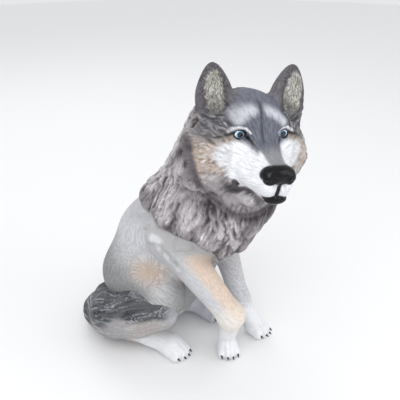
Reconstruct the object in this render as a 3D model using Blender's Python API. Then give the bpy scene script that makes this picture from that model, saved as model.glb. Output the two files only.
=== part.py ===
"""A seated wolf figurine, cast in one piece.

Its head is turned to its right and its tail is laid round its right side. Metres, +Z up. The wolf faces -Y
and its left side is +X. It is blocked out from round masses that blend into one skin, as a sculptor builds
clay over a frame, and then its lips and its fur locks are carved.
"""

import math
import random

import bmesh
import bpy
import numpy as np
from mathutils import Matrix, Vector

# Skin resolution while carving, the triangles that the casting keeps, and the height of its flat base
SKIN_CELL = 0.0046
KEPT_TRIANGLES = 10800
BASE_HEIGHT = 0.0005

# The face from the brow point, where the skin is twice as fine: to each side, back and down
FINE_SIDE = 0.110
FINE_BACK = 0.075
FINE_DROP = 0.105

# How softly the masses run into each other
BODY_BLEND = 0.030
SEAT_BLEND = 0.040
LEG_BLEND = 0.020
TAIL_BLEND = 0.012
PAW_BLEND = 0.012
TOE_BLEND = 0.003

# Trunk: centres of the chest, loin and rump, and the thickness of the body at each
CHEST = Vector((-0.008, 0.019, 0.304))
CHEST_RADIUS = 0.103
LOIN = Vector((-0.012, 0.084, 0.218))
LOIN_RADIUS = 0.107
RUMP = Vector((-0.012, 0.120, 0.132))
RUMP_RADIUS = 0.108
SEAT = Vector((-0.012, 0.128, 0.100))
SEAT_SIZE = (0.106, 0.100, 0.106)

# Ruff: the thick collar of fur round the neck and the bib over the chest
NECK_TOP = Vector((-0.028, -0.097, 0.520))
NECK_TOP_RADIUS = 0.073
NECK_BASE = Vector((-0.009, -0.040, 0.400))
NECK_BASE_RADIUS = 0.089
BIB = Vector((-0.014, -0.068, 0.343))
BIB_SIZE = (0.088, 0.064, 0.088)
MANE = Vector((-0.002, -0.006, 0.338))
MANE_SIZE = (0.084, 0.076, 0.068)
THROAT = Vector((-0.020, -0.112, 0.415))
THROAT_SIZE = (0.088, 0.068, 0.088)
RUFF_AXIS = Vector((-0.010, -0.010))
RUFF_EDGE_FRONT = 0.238
RUFF_EDGE_SIDE = 0.338
RUFF_LIFT = 0.006

# Tufts of the ruff: how many rings of them, how many in a ring, how far the lowest ring is above the hanging
# edge, how far out their places are cast from, and the line that the rings are centred on
TUFT_RINGS = 7
TUFTS_IN_RING = 28
TUFT_START = 0.024
TUFT_REACH = 0.22
RUFF_FOOT = Vector((-0.010, -0.022, 0.250))
RUFF_TOP = Vector((-0.030, -0.118, 0.600))

# Fur locks: length, width and how far they stand out
RUFF_TUFT = (0.066, 0.027, 0.0060)
RUFF_LOCK = (0.036, 0.015, 0.0030)
CHEEK_LOCK = (0.034, 0.014, 0.0040)
TAIL_LOCK = (0.060, 0.015, 0.0030)

# Edge of the cheek and chin fur round the face, and the groove under it
FACE_MIDDLE = -0.030
CHEEK_EDGE = 0.111
CHIN_DROP = 0.017
LEFT_CHEEK_DROP = 0.012
NAPE_FRONT = -0.060
NAPE_BACK = -0.100
CHEEK_GROOVE = (0.0050, 0.0055)

# Which way the fur is combed: where it parts at the nose, and its pull on the face and down the ruff
PARTING = (0.0, 0.085, -0.040)
FACE_PULL = (0.0, -0.35, -0.25)
RUFF_PULL = (0.0, 0.12, -0.80)
RUFF_SPREAD = 0.6
TAIL_SPREAD = 0.4

# Head: the point between the eyes, how the head is turned from straight ahead, and its main sizes
BROW_POINT = Vector((-0.066, -0.187, 0.554))
HEAD_YAW = math.radians(-30)
HEAD_ROLL = math.radians(-7)
MUZZLE_ROOT = (0.0, -0.004, -0.030)
MUZZLE_LENGTH = 0.059
MUZZLE_DROP = 0.050
MUZZLE_ROOT_RADIUS = 0.036
MUZZLE_TIP_RADIUS = 0.0265
MUZZLE_BLEND = 0.022
JAW_ROOT = (0.0, -0.020, -0.084)
JAW_TIP = (0.0, 0.056, -0.091)
JAW_ROOT_RADIUS = 0.031
JAW_TIP_RADIUS = 0.014
LIP_BLEND = 0.006
NOSE_AHEAD = 0.016
NOSE_DROP = 0.045
NOSE_SIZE = (0.0320, 0.0160, 0.0170)
NOSE_BLEND = 0.005
EYE_SPACING = 0.084
EYE_SET_BACK = 0.0105
EYE_RADIUS = 0.0125

# Masses of the head: place to its left, front and top from the brow point, half sizes, and blend
SKULL = ((0, -0.062, -0.002), (0.066, 0.070, 0.062), 0.020)
FOREHEAD = ((0, -0.024, 0.010), (0.046, 0.034, 0.034), 0.020)
CHIN = ((0, 0.004, -0.108), (0.032, 0.032, 0.024), 0.012)
LOWER_LIP = ((0.003, 0.074, -0.090), (0.021, 0.011, 0.010), 0.006)
LEFT_TEMPLE = ((0.089, -0.060, 0.004), (0.016, 0.016, 0.034), 0.014)
WHISKER_PAD = ((0.017, 0.051, -0.061), (0.021, 0.034, 0.026), 0.010)
UPPER_LIP = ((0.013, 0.070, -0.070), (0.015, 0.016, 0.017), 0.006)
MUZZLE_SIDE = ((0.025, 0.016, -0.057), (0.026, 0.042, 0.029), 0.014)
JOWL = ((0.046, -0.022, -0.082), (0.042, 0.040, 0.036), 0.014)
CHEEKBONE = ((0.052, -0.034, -0.030), (0.040, 0.046, 0.044), 0.020)
CHEEK_FUR = ((0.077, -0.052, -0.058), (0.046, 0.038, 0.056), 0.020)
BROW = ((0.030, -0.008, 0.018), (0.022, 0.016, 0.012), 0.010)
EYE_SOCKET = ((0.044, 0.004, -0.001), (0.016, 0.012, 0.009), 0.006)

# Ears
EAR_LENGTH = 0.080
EAR_WIDTH = 0.0355
EAR_DEPTH = 0.013
EAR_SPACING = 0.141
EAR_SHIFT = 0.0055
EAR_BACK = 0.066
EAR_RISE = 0.030
EAR_LEAN = math.radians(8)
EAR_BLEND = 0.014
EAR_HOLLOW = (0.0, 0.022, 0.026)
EAR_HOLLOW_BLEND = 0.006

# Lip line along one side of the mouth, and the depth and width of its groove
LIP_LINE = ((0.045, 0.010, -0.073), (0.037, 0.028, -0.083), (0.026, 0.050, -0.089), (0.016, 0.066, -0.090),
            (0.000, 0.076, -0.088))
LIP_GROOVE = (0.0030, 0.0030)

# Legs: where each joint is, and the radius of the limb there
FORELEG_RIGHT = ((-0.078, -0.050, 0.350), (-0.096, 0.006, 0.292), (-0.052, -0.123, 0.128),
                 (-0.024, -0.094, 0.040))
FORELEG_LEFT = ((0.056, -0.040, 0.330), (0.063, -0.008, 0.240), (0.055, -0.071, 0.090),
                (0.067, -0.103, 0.030))
FORELEG_RIGHT_RADII = (0.060, 0.042, 0.0260, 0.0185)
FORELEG_LEFT_RADII = (0.052, 0.031, 0.0210, 0.0190)
HIND_RIGHT = ((-0.088, 0.115, 0.165), (-0.112, 0.012, 0.150), (-0.126, 0.104, 0.039),
              (-0.108, -0.001, 0.028))
HIND_LEFT = ((0.070, 0.125, 0.150), (0.078, 0.062, 0.130), (0.030, 0.105, 0.034), (0.052, 0.020, 0.028))
HIND_LEFT_FULLNESS = 0.86
THIGH_RADIUS = 0.072
KNEE_RADIUS = 0.046
SHANK_RADIUS = 0.030
RIGHT_PAW_TURN = math.radians(-42)
PAW_SIZE = (0.0240, 0.0310, 0.021)
HIND_PAW_SCALE = 1.10
PAW_SINK = 0.0025
PAW_AHEAD = 0.35
TOES_AHEAD = (0.42, 0.62, 0.62, 0.42)
TOE_PITCH = 0.0120
TOE_SIZE = (0.0068, 0.0125, 0.0120)
TOE_DROP = -0.004

# Tail: the points it passes through from the rump round the right side, and its radius at each
TAIL_POINTS = ((-0.010, 0.205, 0.030), (-0.070, 0.224, 0.034), (-0.124, 0.192, 0.042),
               (-0.150, 0.118, 0.080), (-0.152, 0.046, 0.116), (-0.140, -0.004, 0.130))
TAIL_RADII = (0.030, 0.034, 0.041, 0.053, 0.050, 0.034)


def smooth_step(low, high, value):
    """0 at low, 1 at high, and an even S between them."""
    t = np.clip((value - low) / (high - low), 0.0, 1.0)
    return t * t * (3.0 - 2.0 * t)


class Clay:
    """Round masses that blend into one skin."""

    def __init__(self):
        self.masses = []
        self.hollows = []
        self.eyes = []
        self.paws = []

    def lump(self, centre, size, blend=0.02, turn=None):
        """An egg with three half sizes, turned by a rotation matrix."""
        self.masses.append((Vector(centre), size, turn or Matrix.Identity(3), blend))

    def limb(self, start, end, start_radius, end_radius, blend=0.02):
        """A tapered rod with round ends."""
        self.masses.append((Vector(start), Vector(end), start_radius, end_radius, blend))

    def scoop(self, centre, size, blend=0.006, turn=None):
        """An egg that is taken out of the rest."""
        self.hollows.append((Vector(centre), size, turn or Matrix.Identity(3), blend))

    @staticmethod
    def mass_distance(mass, points):
        """Signed distance from points to one mass, negative inside it."""
        if len(mass) == 5:
            start, end, start_radius, end_radius, _ = mass
            axis = np.array(end - start)
            offset = points - np.array(start)
            along = np.clip(offset @ axis / (axis @ axis), 0.0, 1.0)
            radius = start_radius + (end_radius - start_radius) * along
            return np.linalg.norm(offset - along[:, None] * axis, axis=1) - radius
        centre, size, turn, _ = mass
        local = (points - np.array(centre)) @ np.array(turn) / np.array(size)
        reach = np.linalg.norm(local, axis=1)
        slope = np.linalg.norm(local / np.array(size), axis=1)
        return reach * (reach - 1.0) / np.maximum(slope, 1e-9)

    def distance(self, points):
        """Signed distance to the blended skin."""
        total = np.full(len(points), 1.0)
        for mass in self.masses:
            blend = mass[-1]
            other = self.mass_distance(mass, points)
            overlap = np.maximum(blend - np.abs(total - other), 0.0) / blend
            total = np.minimum(total, other) - overlap * overlap * blend / 4.0
        for mass in self.hollows:
            blend = mass[-1]
            other = -self.mass_distance(mass, points)
            overlap = np.maximum(blend - np.abs(total - other), 0.0) / blend
            total = np.maximum(total, other) + overlap * overlap * blend / 4.0
        for centre, radius in self.eyes:
            total = np.minimum(total, np.linalg.norm(points - np.array(centre), axis=1) - radius)
        return total

    def outward(self, points, step=0.0006):
        """Outward unit direction of the skin near each point."""
        total = np.zeros_like(points)
        for corner in ((1, -1, -1), (-1, -1, 1), (-1, 1, -1), (1, 1, 1)):
            corner = np.array(corner, float)
            total += corner * self.distance(points + corner * step)[:, None]
        return total / np.maximum(np.linalg.norm(total, axis=1, keepdims=True), 1e-9)

    def settle(self, points, rounds=3):
        """Moves points onto the blended skin."""
        for _ in range(rounds):
            points = points - self.outward(points) * self.distance(points)[:, None]
        return points


def head_axes():
    """Columns are the head's left side, its front and its top."""
    front = Vector((math.sin(HEAD_YAW), -math.cos(HEAD_YAW), 0.0))
    level_side = Vector((math.cos(HEAD_YAW), math.sin(HEAD_YAW), 0.0))
    side = level_side * math.cos(HEAD_ROLL) + Vector((0, 0, math.sin(HEAD_ROLL)))
    return Matrix((side, front, front.cross(side))).transposed()


HEAD = head_axes()


def in_head(side, front, top):
    """World position of a point given from the brow point along the head's own axes."""
    return BROW_POINT + HEAD @ Vector((side, front, top))


def add_trunk(clay):
    clay.limb(CHEST, LOIN, CHEST_RADIUS, LOIN_RADIUS, BODY_BLEND)
    clay.limb(LOIN, RUMP, LOIN_RADIUS, RUMP_RADIUS, BODY_BLEND)
    clay.lump(SEAT, SEAT_SIZE, SEAT_BLEND)


def add_ruff(clay):
    clay.limb(NECK_TOP, NECK_BASE, NECK_TOP_RADIUS, NECK_BASE_RADIUS, BODY_BLEND)
    clay.lump(BIB, BIB_SIZE, BODY_BLEND)
    clay.lump(MANE, MANE_SIZE, BODY_BLEND)
    clay.lump(THROAT, THROAT_SIZE, BODY_BLEND)


def add_head_mass(clay, mass, side=1):
    (across, front, top), size, blend = mass
    clay.lump(in_head(side * across, front, top), size, blend, HEAD)


def add_head(clay):
    add_head_mass(clay, SKULL)
    add_head_mass(clay, FOREHEAD)
    clay.limb(in_head(*MUZZLE_ROOT), in_head(0, MUZZLE_LENGTH, -MUZZLE_DROP), MUZZLE_ROOT_RADIUS,
              MUZZLE_TIP_RADIUS, MUZZLE_BLEND)
    clay.limb(in_head(*JAW_ROOT), in_head(*JAW_TIP), JAW_ROOT_RADIUS, JAW_TIP_RADIUS, LIP_BLEND)
    add_head_mass(clay, CHIN)
    add_head_mass(clay, LOWER_LIP)
    clay.lump(in_head(0, MUZZLE_LENGTH + NOSE_AHEAD, -NOSE_DROP), NOSE_SIZE, NOSE_BLEND, HEAD)
    for side in (-1, 1):
        for mass in (WHISKER_PAD, UPPER_LIP, MUZZLE_SIDE, JOWL, CHEEKBONE, CHEEK_FUR, BROW):
            add_head_mass(clay, mass, side)
        (across, front, top), size, blend = EYE_SOCKET
        clay.scoop(in_head(side * across, front, top), size, blend, HEAD)
        clay.eyes.append((in_head(side * EYE_SPACING / 2, -EYE_SET_BACK, 0.0), EYE_RADIUS))
        add_ear(clay, side)
    add_head_mass(clay, LEFT_TEMPLE)


def add_ear(clay, side):
    """An upright ear: a broad base, a narrower tip, and the hollow of its front."""
    root = in_head(side * EAR_SPACING / 2 + EAR_SHIFT, -EAR_BACK, EAR_RISE)
    lean = HEAD @ Matrix.Rotation(side * EAR_LEAN, 3, "Y") @ Matrix.Rotation(EAR_LEAN, 3, "X")
    base = root + lean @ Vector((0, 0, EAR_LENGTH * 0.15))
    tip = root + lean @ Vector((0, 0, EAR_LENGTH * 0.6))
    clay.lump(base, (EAR_WIDTH, EAR_DEPTH * 1.5, EAR_LENGTH * 0.62), EAR_BLEND, lean)
    clay.lump(tip, (EAR_WIDTH * 0.5, EAR_DEPTH * 0.8, EAR_LENGTH * 0.34), EAR_BLEND, lean)
    clay.scoop(root + lean @ Vector(EAR_HOLLOW), (EAR_WIDTH * 0.56, EAR_DEPTH * 1.2, EAR_LENGTH * 0.50),
               EAR_HOLLOW_BLEND, lean)


def add_foreleg(clay, joints, radii, turned_out):
    for start, end, r1, r2 in zip(joints, joints[1:], radii, radii[1:]):
        clay.limb(start, end, r1, r2, LEG_BLEND)
    add_paw(clay, Vector(joints[-1]), turned_out)


def add_hind_leg(clay, joints, fullness):
    hip, knee, hock, toes = (Vector(joint) for joint in joints)
    clay.limb(hip, knee, THIGH_RADIUS * fullness, KNEE_RADIUS * fullness, BODY_BLEND)
    clay.limb(knee, hock, KNEE_RADIUS * 0.9 * fullness, SHANK_RADIUS, LEG_BLEND)
    clay.limb(hock, toes, SHANK_RADIUS * 0.95, SHANK_RADIUS * 0.8, LEG_BLEND)
    add_paw(clay, toes, 0, HIND_PAW_SCALE)


def add_paw(clay, ankle, turned_out, scale=1.0):
    """A paw and its four toes under the ankle, its sole just below the base so that it is cut flat."""
    turn = Matrix.Rotation(turned_out, 3, "Z")
    size = Vector(PAW_SIZE) * scale
    centre = Vector((ankle.x, ankle.y, size.z - PAW_SINK)) + turn @ Vector((0, -PAW_AHEAD * size.y, 0))
    clay.lump(centre, size, PAW_BLEND, turn)
    for toe, ahead in zip((-1.5, -0.5, 0.5, 1.5), TOES_AHEAD):
        front = centre + turn @ Vector((toe * TOE_PITCH * scale, -ahead * size.y, TOE_DROP))
        clay.lump(front, Vector(TOE_SIZE) * scale, TOE_BLEND, turn)
    clay.paws.append((centre, turn))


def add_tail(clay):
    for start, end, r1, r2 in zip(TAIL_POINTS, TAIL_POINTS[1:], TAIL_RADII, TAIL_RADII[1:]):
        clay.limb(start, end, r1, r2, TAIL_BLEND)


def wolf_clay():
    clay = Clay()
    add_trunk(clay)
    add_ruff(clay)
    add_hind_leg(clay, HIND_RIGHT, 1.0)
    add_hind_leg(clay, HIND_LEFT, HIND_LEFT_FULLNESS)
    add_foreleg(clay, FORELEG_RIGHT, FORELEG_RIGHT_RADII, RIGHT_PAW_TURN)
    add_foreleg(clay, FORELEG_LEFT, FORELEG_LEFT_RADII, 0.0)
    add_tail(clay)
    add_head(clay)
    return clay


def rough_block(clay):
    """One mesh holding a simple shape for each mass, for the remesher to join."""
    bm = bmesh.new()
    for mass in clay.masses:
        if len(mass) == 5:
            start, end, start_radius, end_radius, _ = mass
            steps = max(2, int((end - start).length / min(start_radius, end_radius)) + 2)
            for i in range(steps):
                t = i / (steps - 1)
                radius = start_radius + (end_radius - start_radius) * t
                place = Matrix.Translation(start.lerp(end, t))
                bmesh.ops.create_icosphere(bm, subdivisions=3, radius=radius, matrix=place)
        else:
            centre, size, turn, _ = mass
            place = Matrix.Translation(centre) @ (turn @ Matrix.Diagonal(size)).to_4x4()
            bmesh.ops.create_icosphere(bm, subdivisions=4, radius=1.0, matrix=place)
    mesh = bpy.data.meshes.new("rough_block")
    bm.to_mesh(mesh)
    bm.free()
    return mesh


def through_modifier(mesh, kind, **settings):
    """The mesh as one modifier leaves it."""
    holder = bpy.data.objects.new("holder", mesh)
    bpy.context.scene.collection.objects.link(holder)
    modifier = holder.modifiers.new(kind.title(), kind)
    for name, value in settings.items():
        setattr(modifier, name, value)
    bpy.context.view_layer.update()
    shaped = bpy.data.meshes.new_from_object(holder.evaluated_get(bpy.context.evaluated_depsgraph_get()))
    bpy.data.objects.remove(holder)
    bpy.data.meshes.remove(mesh)
    return shaped


def get_points(mesh):
    points = np.empty(len(mesh.vertices) * 3)
    mesh.vertices.foreach_get("co", points)
    return points.reshape(-1, 3)


def set_points(mesh, points):
    mesh.vertices.foreach_set("co", points.ravel())
    mesh.update()


def skin(clay, cell):
    """The blended skin of all the masses, as an even mesh."""
    mesh = through_modifier(rough_block(clay), "REMESH", mode="VOXEL", voxel_size=cell)
    set_points(mesh, clay.settle(get_points(mesh)))
    mesh = through_modifier(mesh, "REMESH", mode="VOXEL", voxel_size=cell)
    set_points(mesh, clay.settle(get_points(mesh)))
    return mesh


def to_head(points):
    """Points along the head's side, front and top, from the brow point."""
    return (points - np.array(BROW_POINT)) @ np.array(HEAD)


def refine(mesh, paws):
    """Halves the cell on the face and the paws, where the finest carving is."""
    points = get_points(mesh)
    local = to_head(points)
    fine = (np.abs(local[:, 0]) < FINE_SIDE) & (local[:, 1] > -FINE_BACK) & (local[:, 2] > -FINE_DROP)
    for centre, _ in paws:
        fine |= np.linalg.norm(points - np.array(centre), axis=1) < PAW_SIZE[1] * 1.2
    bm = bmesh.new()
    bm.from_mesh(mesh)
    edges = [e for e in bm.edges if fine[e.verts[0].index] and fine[e.verts[1].index]]
    bmesh.ops.subdivide_edges(bm, edges=edges, cuts=1, use_grid_fill=True)
    bmesh.ops.triangulate(bm, faces=[f for f in bm.faces if len(f.verts) > 4])
    bm.to_mesh(mesh)
    bm.free()


def unit(vectors):
    """Each row at length one."""
    return vectors / np.maximum(np.linalg.norm(vectors, axis=-1, keepdims=True), 1e-9)


def ruff_edge(points):
    """Height of the ruff's hanging lower edge below each point."""
    turned = np.degrees(np.abs(np.arctan2(points[:, 0] - RUFF_AXIS.x, RUFF_AXIS.y - points[:, 1])))
    return RUFF_EDGE_FRONT + (RUFF_EDGE_SIDE - RUFF_EDGE_FRONT) * smooth_step(12, 68, turned)


def head_depth(local):
    """How far inside the edge of the cheek and chin fur each point is, from its place in the head."""
    drop = local[:, 2] - FACE_MIDDLE
    round_face = np.hypot(local[:, 0], drop)
    down = np.clip(-drop / np.maximum(round_face, 1e-6), 0.0, 1.0)
    edge = CHEEK_EDGE + CHIN_DROP * down ** 12 + LEFT_CHEEK_DROP * smooth_step(0.0, 0.06, local[:, 0])
    behind = smooth_step(NAPE_FRONT, NAPE_BACK, local[:, 1])
    return (edge - round_face) * (1.0 - behind) - 0.01 * behind


def tail_place(points):
    """How far along the tail each point is, 0 to 1, its distance from the skin, and the tail's heading."""
    best = np.full(len(points), 1.0)
    along = np.zeros(len(points))
    heading = np.zeros((len(points), 3))
    count = len(TAIL_POINTS) - 1
    for i in range(count):
        start = np.array(TAIL_POINTS[i])
        axis = np.array(TAIL_POINTS[i + 1]) - start
        t = np.clip((points - start) @ axis / (axis @ axis), 0.0, 1.0)
        apart = np.linalg.norm(points - start - t[:, None] * axis, axis=1)
        apart -= TAIL_RADII[i] + (TAIL_RADII[i + 1] - TAIL_RADII[i]) * t
        nearer = apart < best
        best[nearer] = apart[nearer]
        along[nearer] = (i + t[nearer]) / count
        heading[nearer] = unit(axis)
    return along, best, heading


def flat_to_skin(flow, outward):
    """The flow without what points out of the skin."""
    return unit(flow - outward * np.einsum("ij,ij->i", flow, outward)[:, None])


def coat_flow(points, outward):
    """Which way the fur lies: back from the nose on the head, and outward and down on the ruff."""
    local = to_head(points)
    from_nose = unit(local - np.array(PARTING))
    face_flow = (from_nose + np.array(FACE_PULL)) @ np.array(HEAD).T
    away = unit(points - np.array(in_head(0, -0.02, 0.0)))
    ruff_flow = away * RUFF_SPREAD + np.array(RUFF_PULL)
    on_head = smooth_step(-0.006, 0.006, head_depth(local))[:, None]
    return flat_to_skin(ruff_flow * (1.0 - on_head) + face_flow * on_head, outward)


def tail_flow(points, outward):
    """Tail fur follows the tail and parts to each side of its middle."""
    heading = tail_place(points)[2]
    parted = TAIL_SPREAD * (2.0 * smooth_step(-0.35, 0.55, outward[:, 2]) - 1.0)
    return flat_to_skin(heading + np.array((0.0, 0.0, 1.0)) * parted[:, None], outward)


def scatter(points, weight, spacing, rng):
    """Roots at about one spacing from each other, where the weight is over a half."""
    order = [i for i in range(len(points)) if weight[i] > 0.5]
    rng.shuffle(order)
    taken = {}
    roots = []
    for i in order:
        cell = tuple(np.floor(points[i] / spacing).astype(int))
        near = [taken.get((cell[0] + a, cell[1] + b, cell[2] + c)) for a in (-1, 0, 1) for b in (-1, 0, 1)
                for c in (-1, 0, 1)]
        if any(other is not None and np.linalg.norm(points[i] - points[other]) < spacing for other in near):
            continue
        taken[cell] = i
        roots.append(i)
    return roots


def tuft_roots(clay, rng):
    """Roots of the ruff's tufts: staggered rings from the hanging edge up to the nape, outside the face."""
    places = []
    ways = []
    for ring in range(TUFT_RINGS):
        for step in range(TUFTS_IN_RING):
            angle = 2 * math.pi * (step + 0.5 * (ring % 2) + rng.uniform(-0.2, 0.2)) / TUFTS_IN_RING
            way = np.array((math.sin(angle), -math.cos(angle), 0.0))
            edge = ruff_edge(np.array([way]) + np.array((RUFF_AXIS.x, RUFF_AXIS.y, 0.0)))[0]
            height = edge + TUFT_START + (RUFF_TOP.z - edge) * (ring + rng.uniform(-0.15, 0.15)) / TUFT_RINGS
            rise = (height - RUFF_FOOT.z) / (RUFF_TOP.z - RUFF_FOOT.z)
            places.append(np.array(RUFF_FOOT.lerp(RUFF_TOP, rise)) + way * TUFT_REACH)
            ways.append(way)
    places = np.array(places)
    ways = np.array(ways)
    for _ in range(60):
        places -= ways * np.clip(clay.distance(places), -0.02, 0.02)[:, None]
    return places[head_depth(to_head(places)) < 0.002]


def lay_locks(points, roots, outward, flow, size, rng, sway=0.3):
    """Height of overlapping locks: each rises from its root, sways, is round across and ends in a point."""
    span, width, thickness = size
    height = np.zeros(len(points))
    for root, normal, comb in zip(roots, outward, flow):
        long = span * rng.uniform(0.75, 1.25)
        bulk = rng.uniform(0.75, 1.15)
        phase = rng.uniform(0, 6.3)
        middle = root + comb * long * 0.42
        near = np.nonzero(np.abs(points - middle).max(axis=1) < long * 0.62)[0]
        offset = points[near] - root
        u = offset @ comb / long
        v = offset @ np.cross(normal, comb) - width * sway * (np.sin(4.2 * u + phase) - math.sin(phase))
        taper = np.sqrt(np.clip(1.0 - ((u - 0.2) / 0.8) ** 3, 0.0, 1.0))
        half = width * 0.56 * smooth_step(-0.25, 0.25, u) * taper
        round_top = np.sqrt(np.clip(1.0 - (v / np.maximum(half, 1e-5)) ** 2, 0.0, 1.0))
        rise = 0.25 + 0.75 * smooth_step(-0.1, 0.8, u)
        inside = (u > -0.2) & (u < 1.0) & (np.abs(offset @ normal) < long * 0.5)
        height[near] = np.maximum(height[near], thickness * bulk * rise * round_top * inside)
    return height


def scattered_locks(points, outward, weight, flow, size, rng):
    """Locks rooted all over where the weight is."""
    roots = scatter(points, weight, size[1] * 0.8, rng)
    return lay_locks(points, points[roots], outward[roots], flow[roots], size, rng)


def carve_fur(clay, points, outward):
    """How far the fur locks lift the skin."""
    rng = random.Random(7)
    local = to_head(points)
    depth = head_depth(local)
    on_face = smooth_step(-0.002, 0.004, depth)
    along, apart, _ = tail_place(points)
    on_tail = smooth_step(0.006, 0.001, apart) * smooth_step(0.10, 0.25, along)
    above = points[:, 2] - ruff_edge(points)
    in_ruff = smooth_step(-0.004, 0.006, above) * (1.0 - on_face) * smooth_step(0.030, 0.010, local[:, 2])
    cheek = on_face * smooth_step(0.052, 0.068, np.abs(local[:, 0])) * smooth_step(0.02, -0.01, local[:, 2])
    chin = on_face * smooth_step(-0.090, -0.100, local[:, 2]) * smooth_step(0.05, 0.03, local[:, 1])
    cheek = np.maximum(cheek, chin)
    groove_depth, groove_width = CHEEK_GROOVE
    under_cheek = smooth_step(0.0, -0.03, local[:, 2]) * smooth_step(-0.085, -0.060, local[:, 1])
    groove = groove_depth * np.exp(-((depth + groove_width) / groove_width) ** 2) * under_cheek
    height = RUFF_LIFT * in_ruff - groove
    roots = tuft_roots(clay, rng)
    facing = clay.outward(roots)
    height += lay_locks(points, roots, facing, coat_flow(roots, facing), RUFF_TUFT, rng)
    flow = coat_flow(points, outward)
    height += scattered_locks(points, outward, in_ruff, flow, RUFF_LOCK, rng)
    height += scattered_locks(points, outward, cheek, flow, CHEEK_LOCK, rng)
    height += scattered_locks(points, outward, on_tail, tail_flow(points, outward), TAIL_LOCK, rng)
    return height


def carve_lips(points):
    """How deep the lip line cuts the skin."""
    local = to_head(points)
    local[:, 0] = np.abs(local[:, 0])
    depth, width = LIP_GROOVE
    apart = np.full(len(points), 1.0)
    for start, end in zip(LIP_LINE, LIP_LINE[1:]):
        axis = np.array(end) - np.array(start)
        t = np.clip((local - np.array(start)) @ axis / (axis @ axis), 0.0, 1.0)
        apart = np.minimum(apart, np.linalg.norm(local - np.array(start) - t[:, None] * axis, axis=1))
    return depth * np.exp(-(apart / width) ** 2)


def seat(mesh):
    """Cuts the base flat on the floor and centres the casting over the origin."""
    bm = bmesh.new()
    bm.from_mesh(mesh)
    cut = bmesh.ops.bisect_plane(bm, geom=bm.verts[:] + bm.edges[:] + bm.faces[:],
                                 plane_co=(0, 0, BASE_HEIGHT), plane_no=(0, 0, 1), clear_inner=True)
    rim = [e for e in cut["geom_cut"] if isinstance(e, bmesh.types.BMEdge)]
    bmesh.ops.holes_fill(bm, edges=rim, sides=0)
    bmesh.ops.triangulate(bm, faces=bm.faces[:])
    low = Vector([min(v.co[i] for v in bm.verts) for i in range(3)])
    high = Vector([max(v.co[i] for v in bm.verts) for i in range(3)])
    middle = (low + high) / 2
    bmesh.ops.translate(bm, verts=bm.verts, vec=(-middle.x, -middle.y, -low.z))
    bm.to_mesh(mesh)
    bm.free()


def painted_resin():
    material = bpy.data.materials.new("painted_resin")
    material.use_nodes = True
    surface = material.node_tree.nodes["Principled BSDF"]
    surface.inputs["Base Color"].default_value = (0.34, 0.33, 0.34, 1.0)
    surface.inputs["Roughness"].default_value = 0.6
    surface.inputs["Metallic"].default_value = 0.0
    return material


def build_wolf():
    clay = wolf_clay()
    mesh = skin(clay, SKIN_CELL)
    refine(mesh, clay.paws)
    points = clay.settle(get_points(mesh))
    outward = clay.outward(points)
    lift = carve_fur(clay, points, outward) - carve_lips(points)
    set_points(mesh, points + outward * lift[:, None])
    ratio = KEPT_TRIANGLES / sum(len(p.vertices) - 2 for p in mesh.polygons)
    mesh = through_modifier(mesh, "DECIMATE", ratio=ratio, use_collapse_triangulate=True)
    seat(mesh)
    mesh.materials.append(painted_resin())
    mesh.shade_smooth()
    wolf = bpy.data.objects.new("wolf", mesh)
    bpy.context.scene.collection.objects.link(wolf)
    return wolf


if __name__ == "__main__":
    for leftover in list(bpy.data.objects):
        bpy.data.objects.remove(leftover)
    build_wolf()
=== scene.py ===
"""A seated wolf garden figurine in painted cast resin: its carved coat, eyes and claws, and a studio.

Metres, +Z up. The wolf faces -Y with its head turned to its right, and its tail lies round its right side.
The coat is settled on the same round masses as the casting, carved with fur locks, and painted.
"""

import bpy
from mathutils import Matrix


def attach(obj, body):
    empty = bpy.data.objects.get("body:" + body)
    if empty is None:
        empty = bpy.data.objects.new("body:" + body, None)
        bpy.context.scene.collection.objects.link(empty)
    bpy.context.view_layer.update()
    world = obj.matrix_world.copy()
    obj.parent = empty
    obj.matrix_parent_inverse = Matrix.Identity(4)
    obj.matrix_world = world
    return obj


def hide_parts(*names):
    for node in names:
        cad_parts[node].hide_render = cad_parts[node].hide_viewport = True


bl_info = {
    "name": "Seated Wolf Figurine",
    "version": (1, 0, 0),
    "blender": (4, 5, 0),
    "location": "View3D > Sidebar > Wolf",
    "description": "Carves and paints a seated wolf garden figurine on its cast body",
    "category": "Object",
}

import math
import random

import bmesh
import bpy
import numpy as np
from bpy.props import FloatProperty, FloatVectorProperty, IntProperty, PointerProperty
from mathutils import Matrix, Vector

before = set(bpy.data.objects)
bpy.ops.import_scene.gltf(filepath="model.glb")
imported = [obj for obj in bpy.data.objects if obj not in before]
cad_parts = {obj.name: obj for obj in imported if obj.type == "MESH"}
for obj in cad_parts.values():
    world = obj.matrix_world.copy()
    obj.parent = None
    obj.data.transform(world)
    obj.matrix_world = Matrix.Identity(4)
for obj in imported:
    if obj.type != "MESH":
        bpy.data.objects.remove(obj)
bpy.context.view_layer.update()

# Where the modelling point under the chest lies in the casting's frame
CAST_ORIGIN = Vector((0.0383, 0.0046, -0.0005))
BASE_HEIGHT = 0.0005

# How softly the masses run into each other
BODY_BLEND = 0.030
SEAT_BLEND = 0.040
LEG_BLEND = 0.020
TAIL_BLEND = 0.012
PAW_BLEND = 0.012
TOE_BLEND = 0.003

# Trunk: centres of the chest, loin and rump, and the thickness of the body at each
CHEST = Vector((-0.008, 0.019, 0.304))
CHEST_RADIUS = 0.103
LOIN = Vector((-0.012, 0.084, 0.218))
LOIN_RADIUS = 0.107
RUMP = Vector((-0.012, 0.120, 0.132))
RUMP_RADIUS = 0.108
SEAT = Vector((-0.012, 0.128, 0.100))
SEAT_SIZE = (0.106, 0.100, 0.106)

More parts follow.
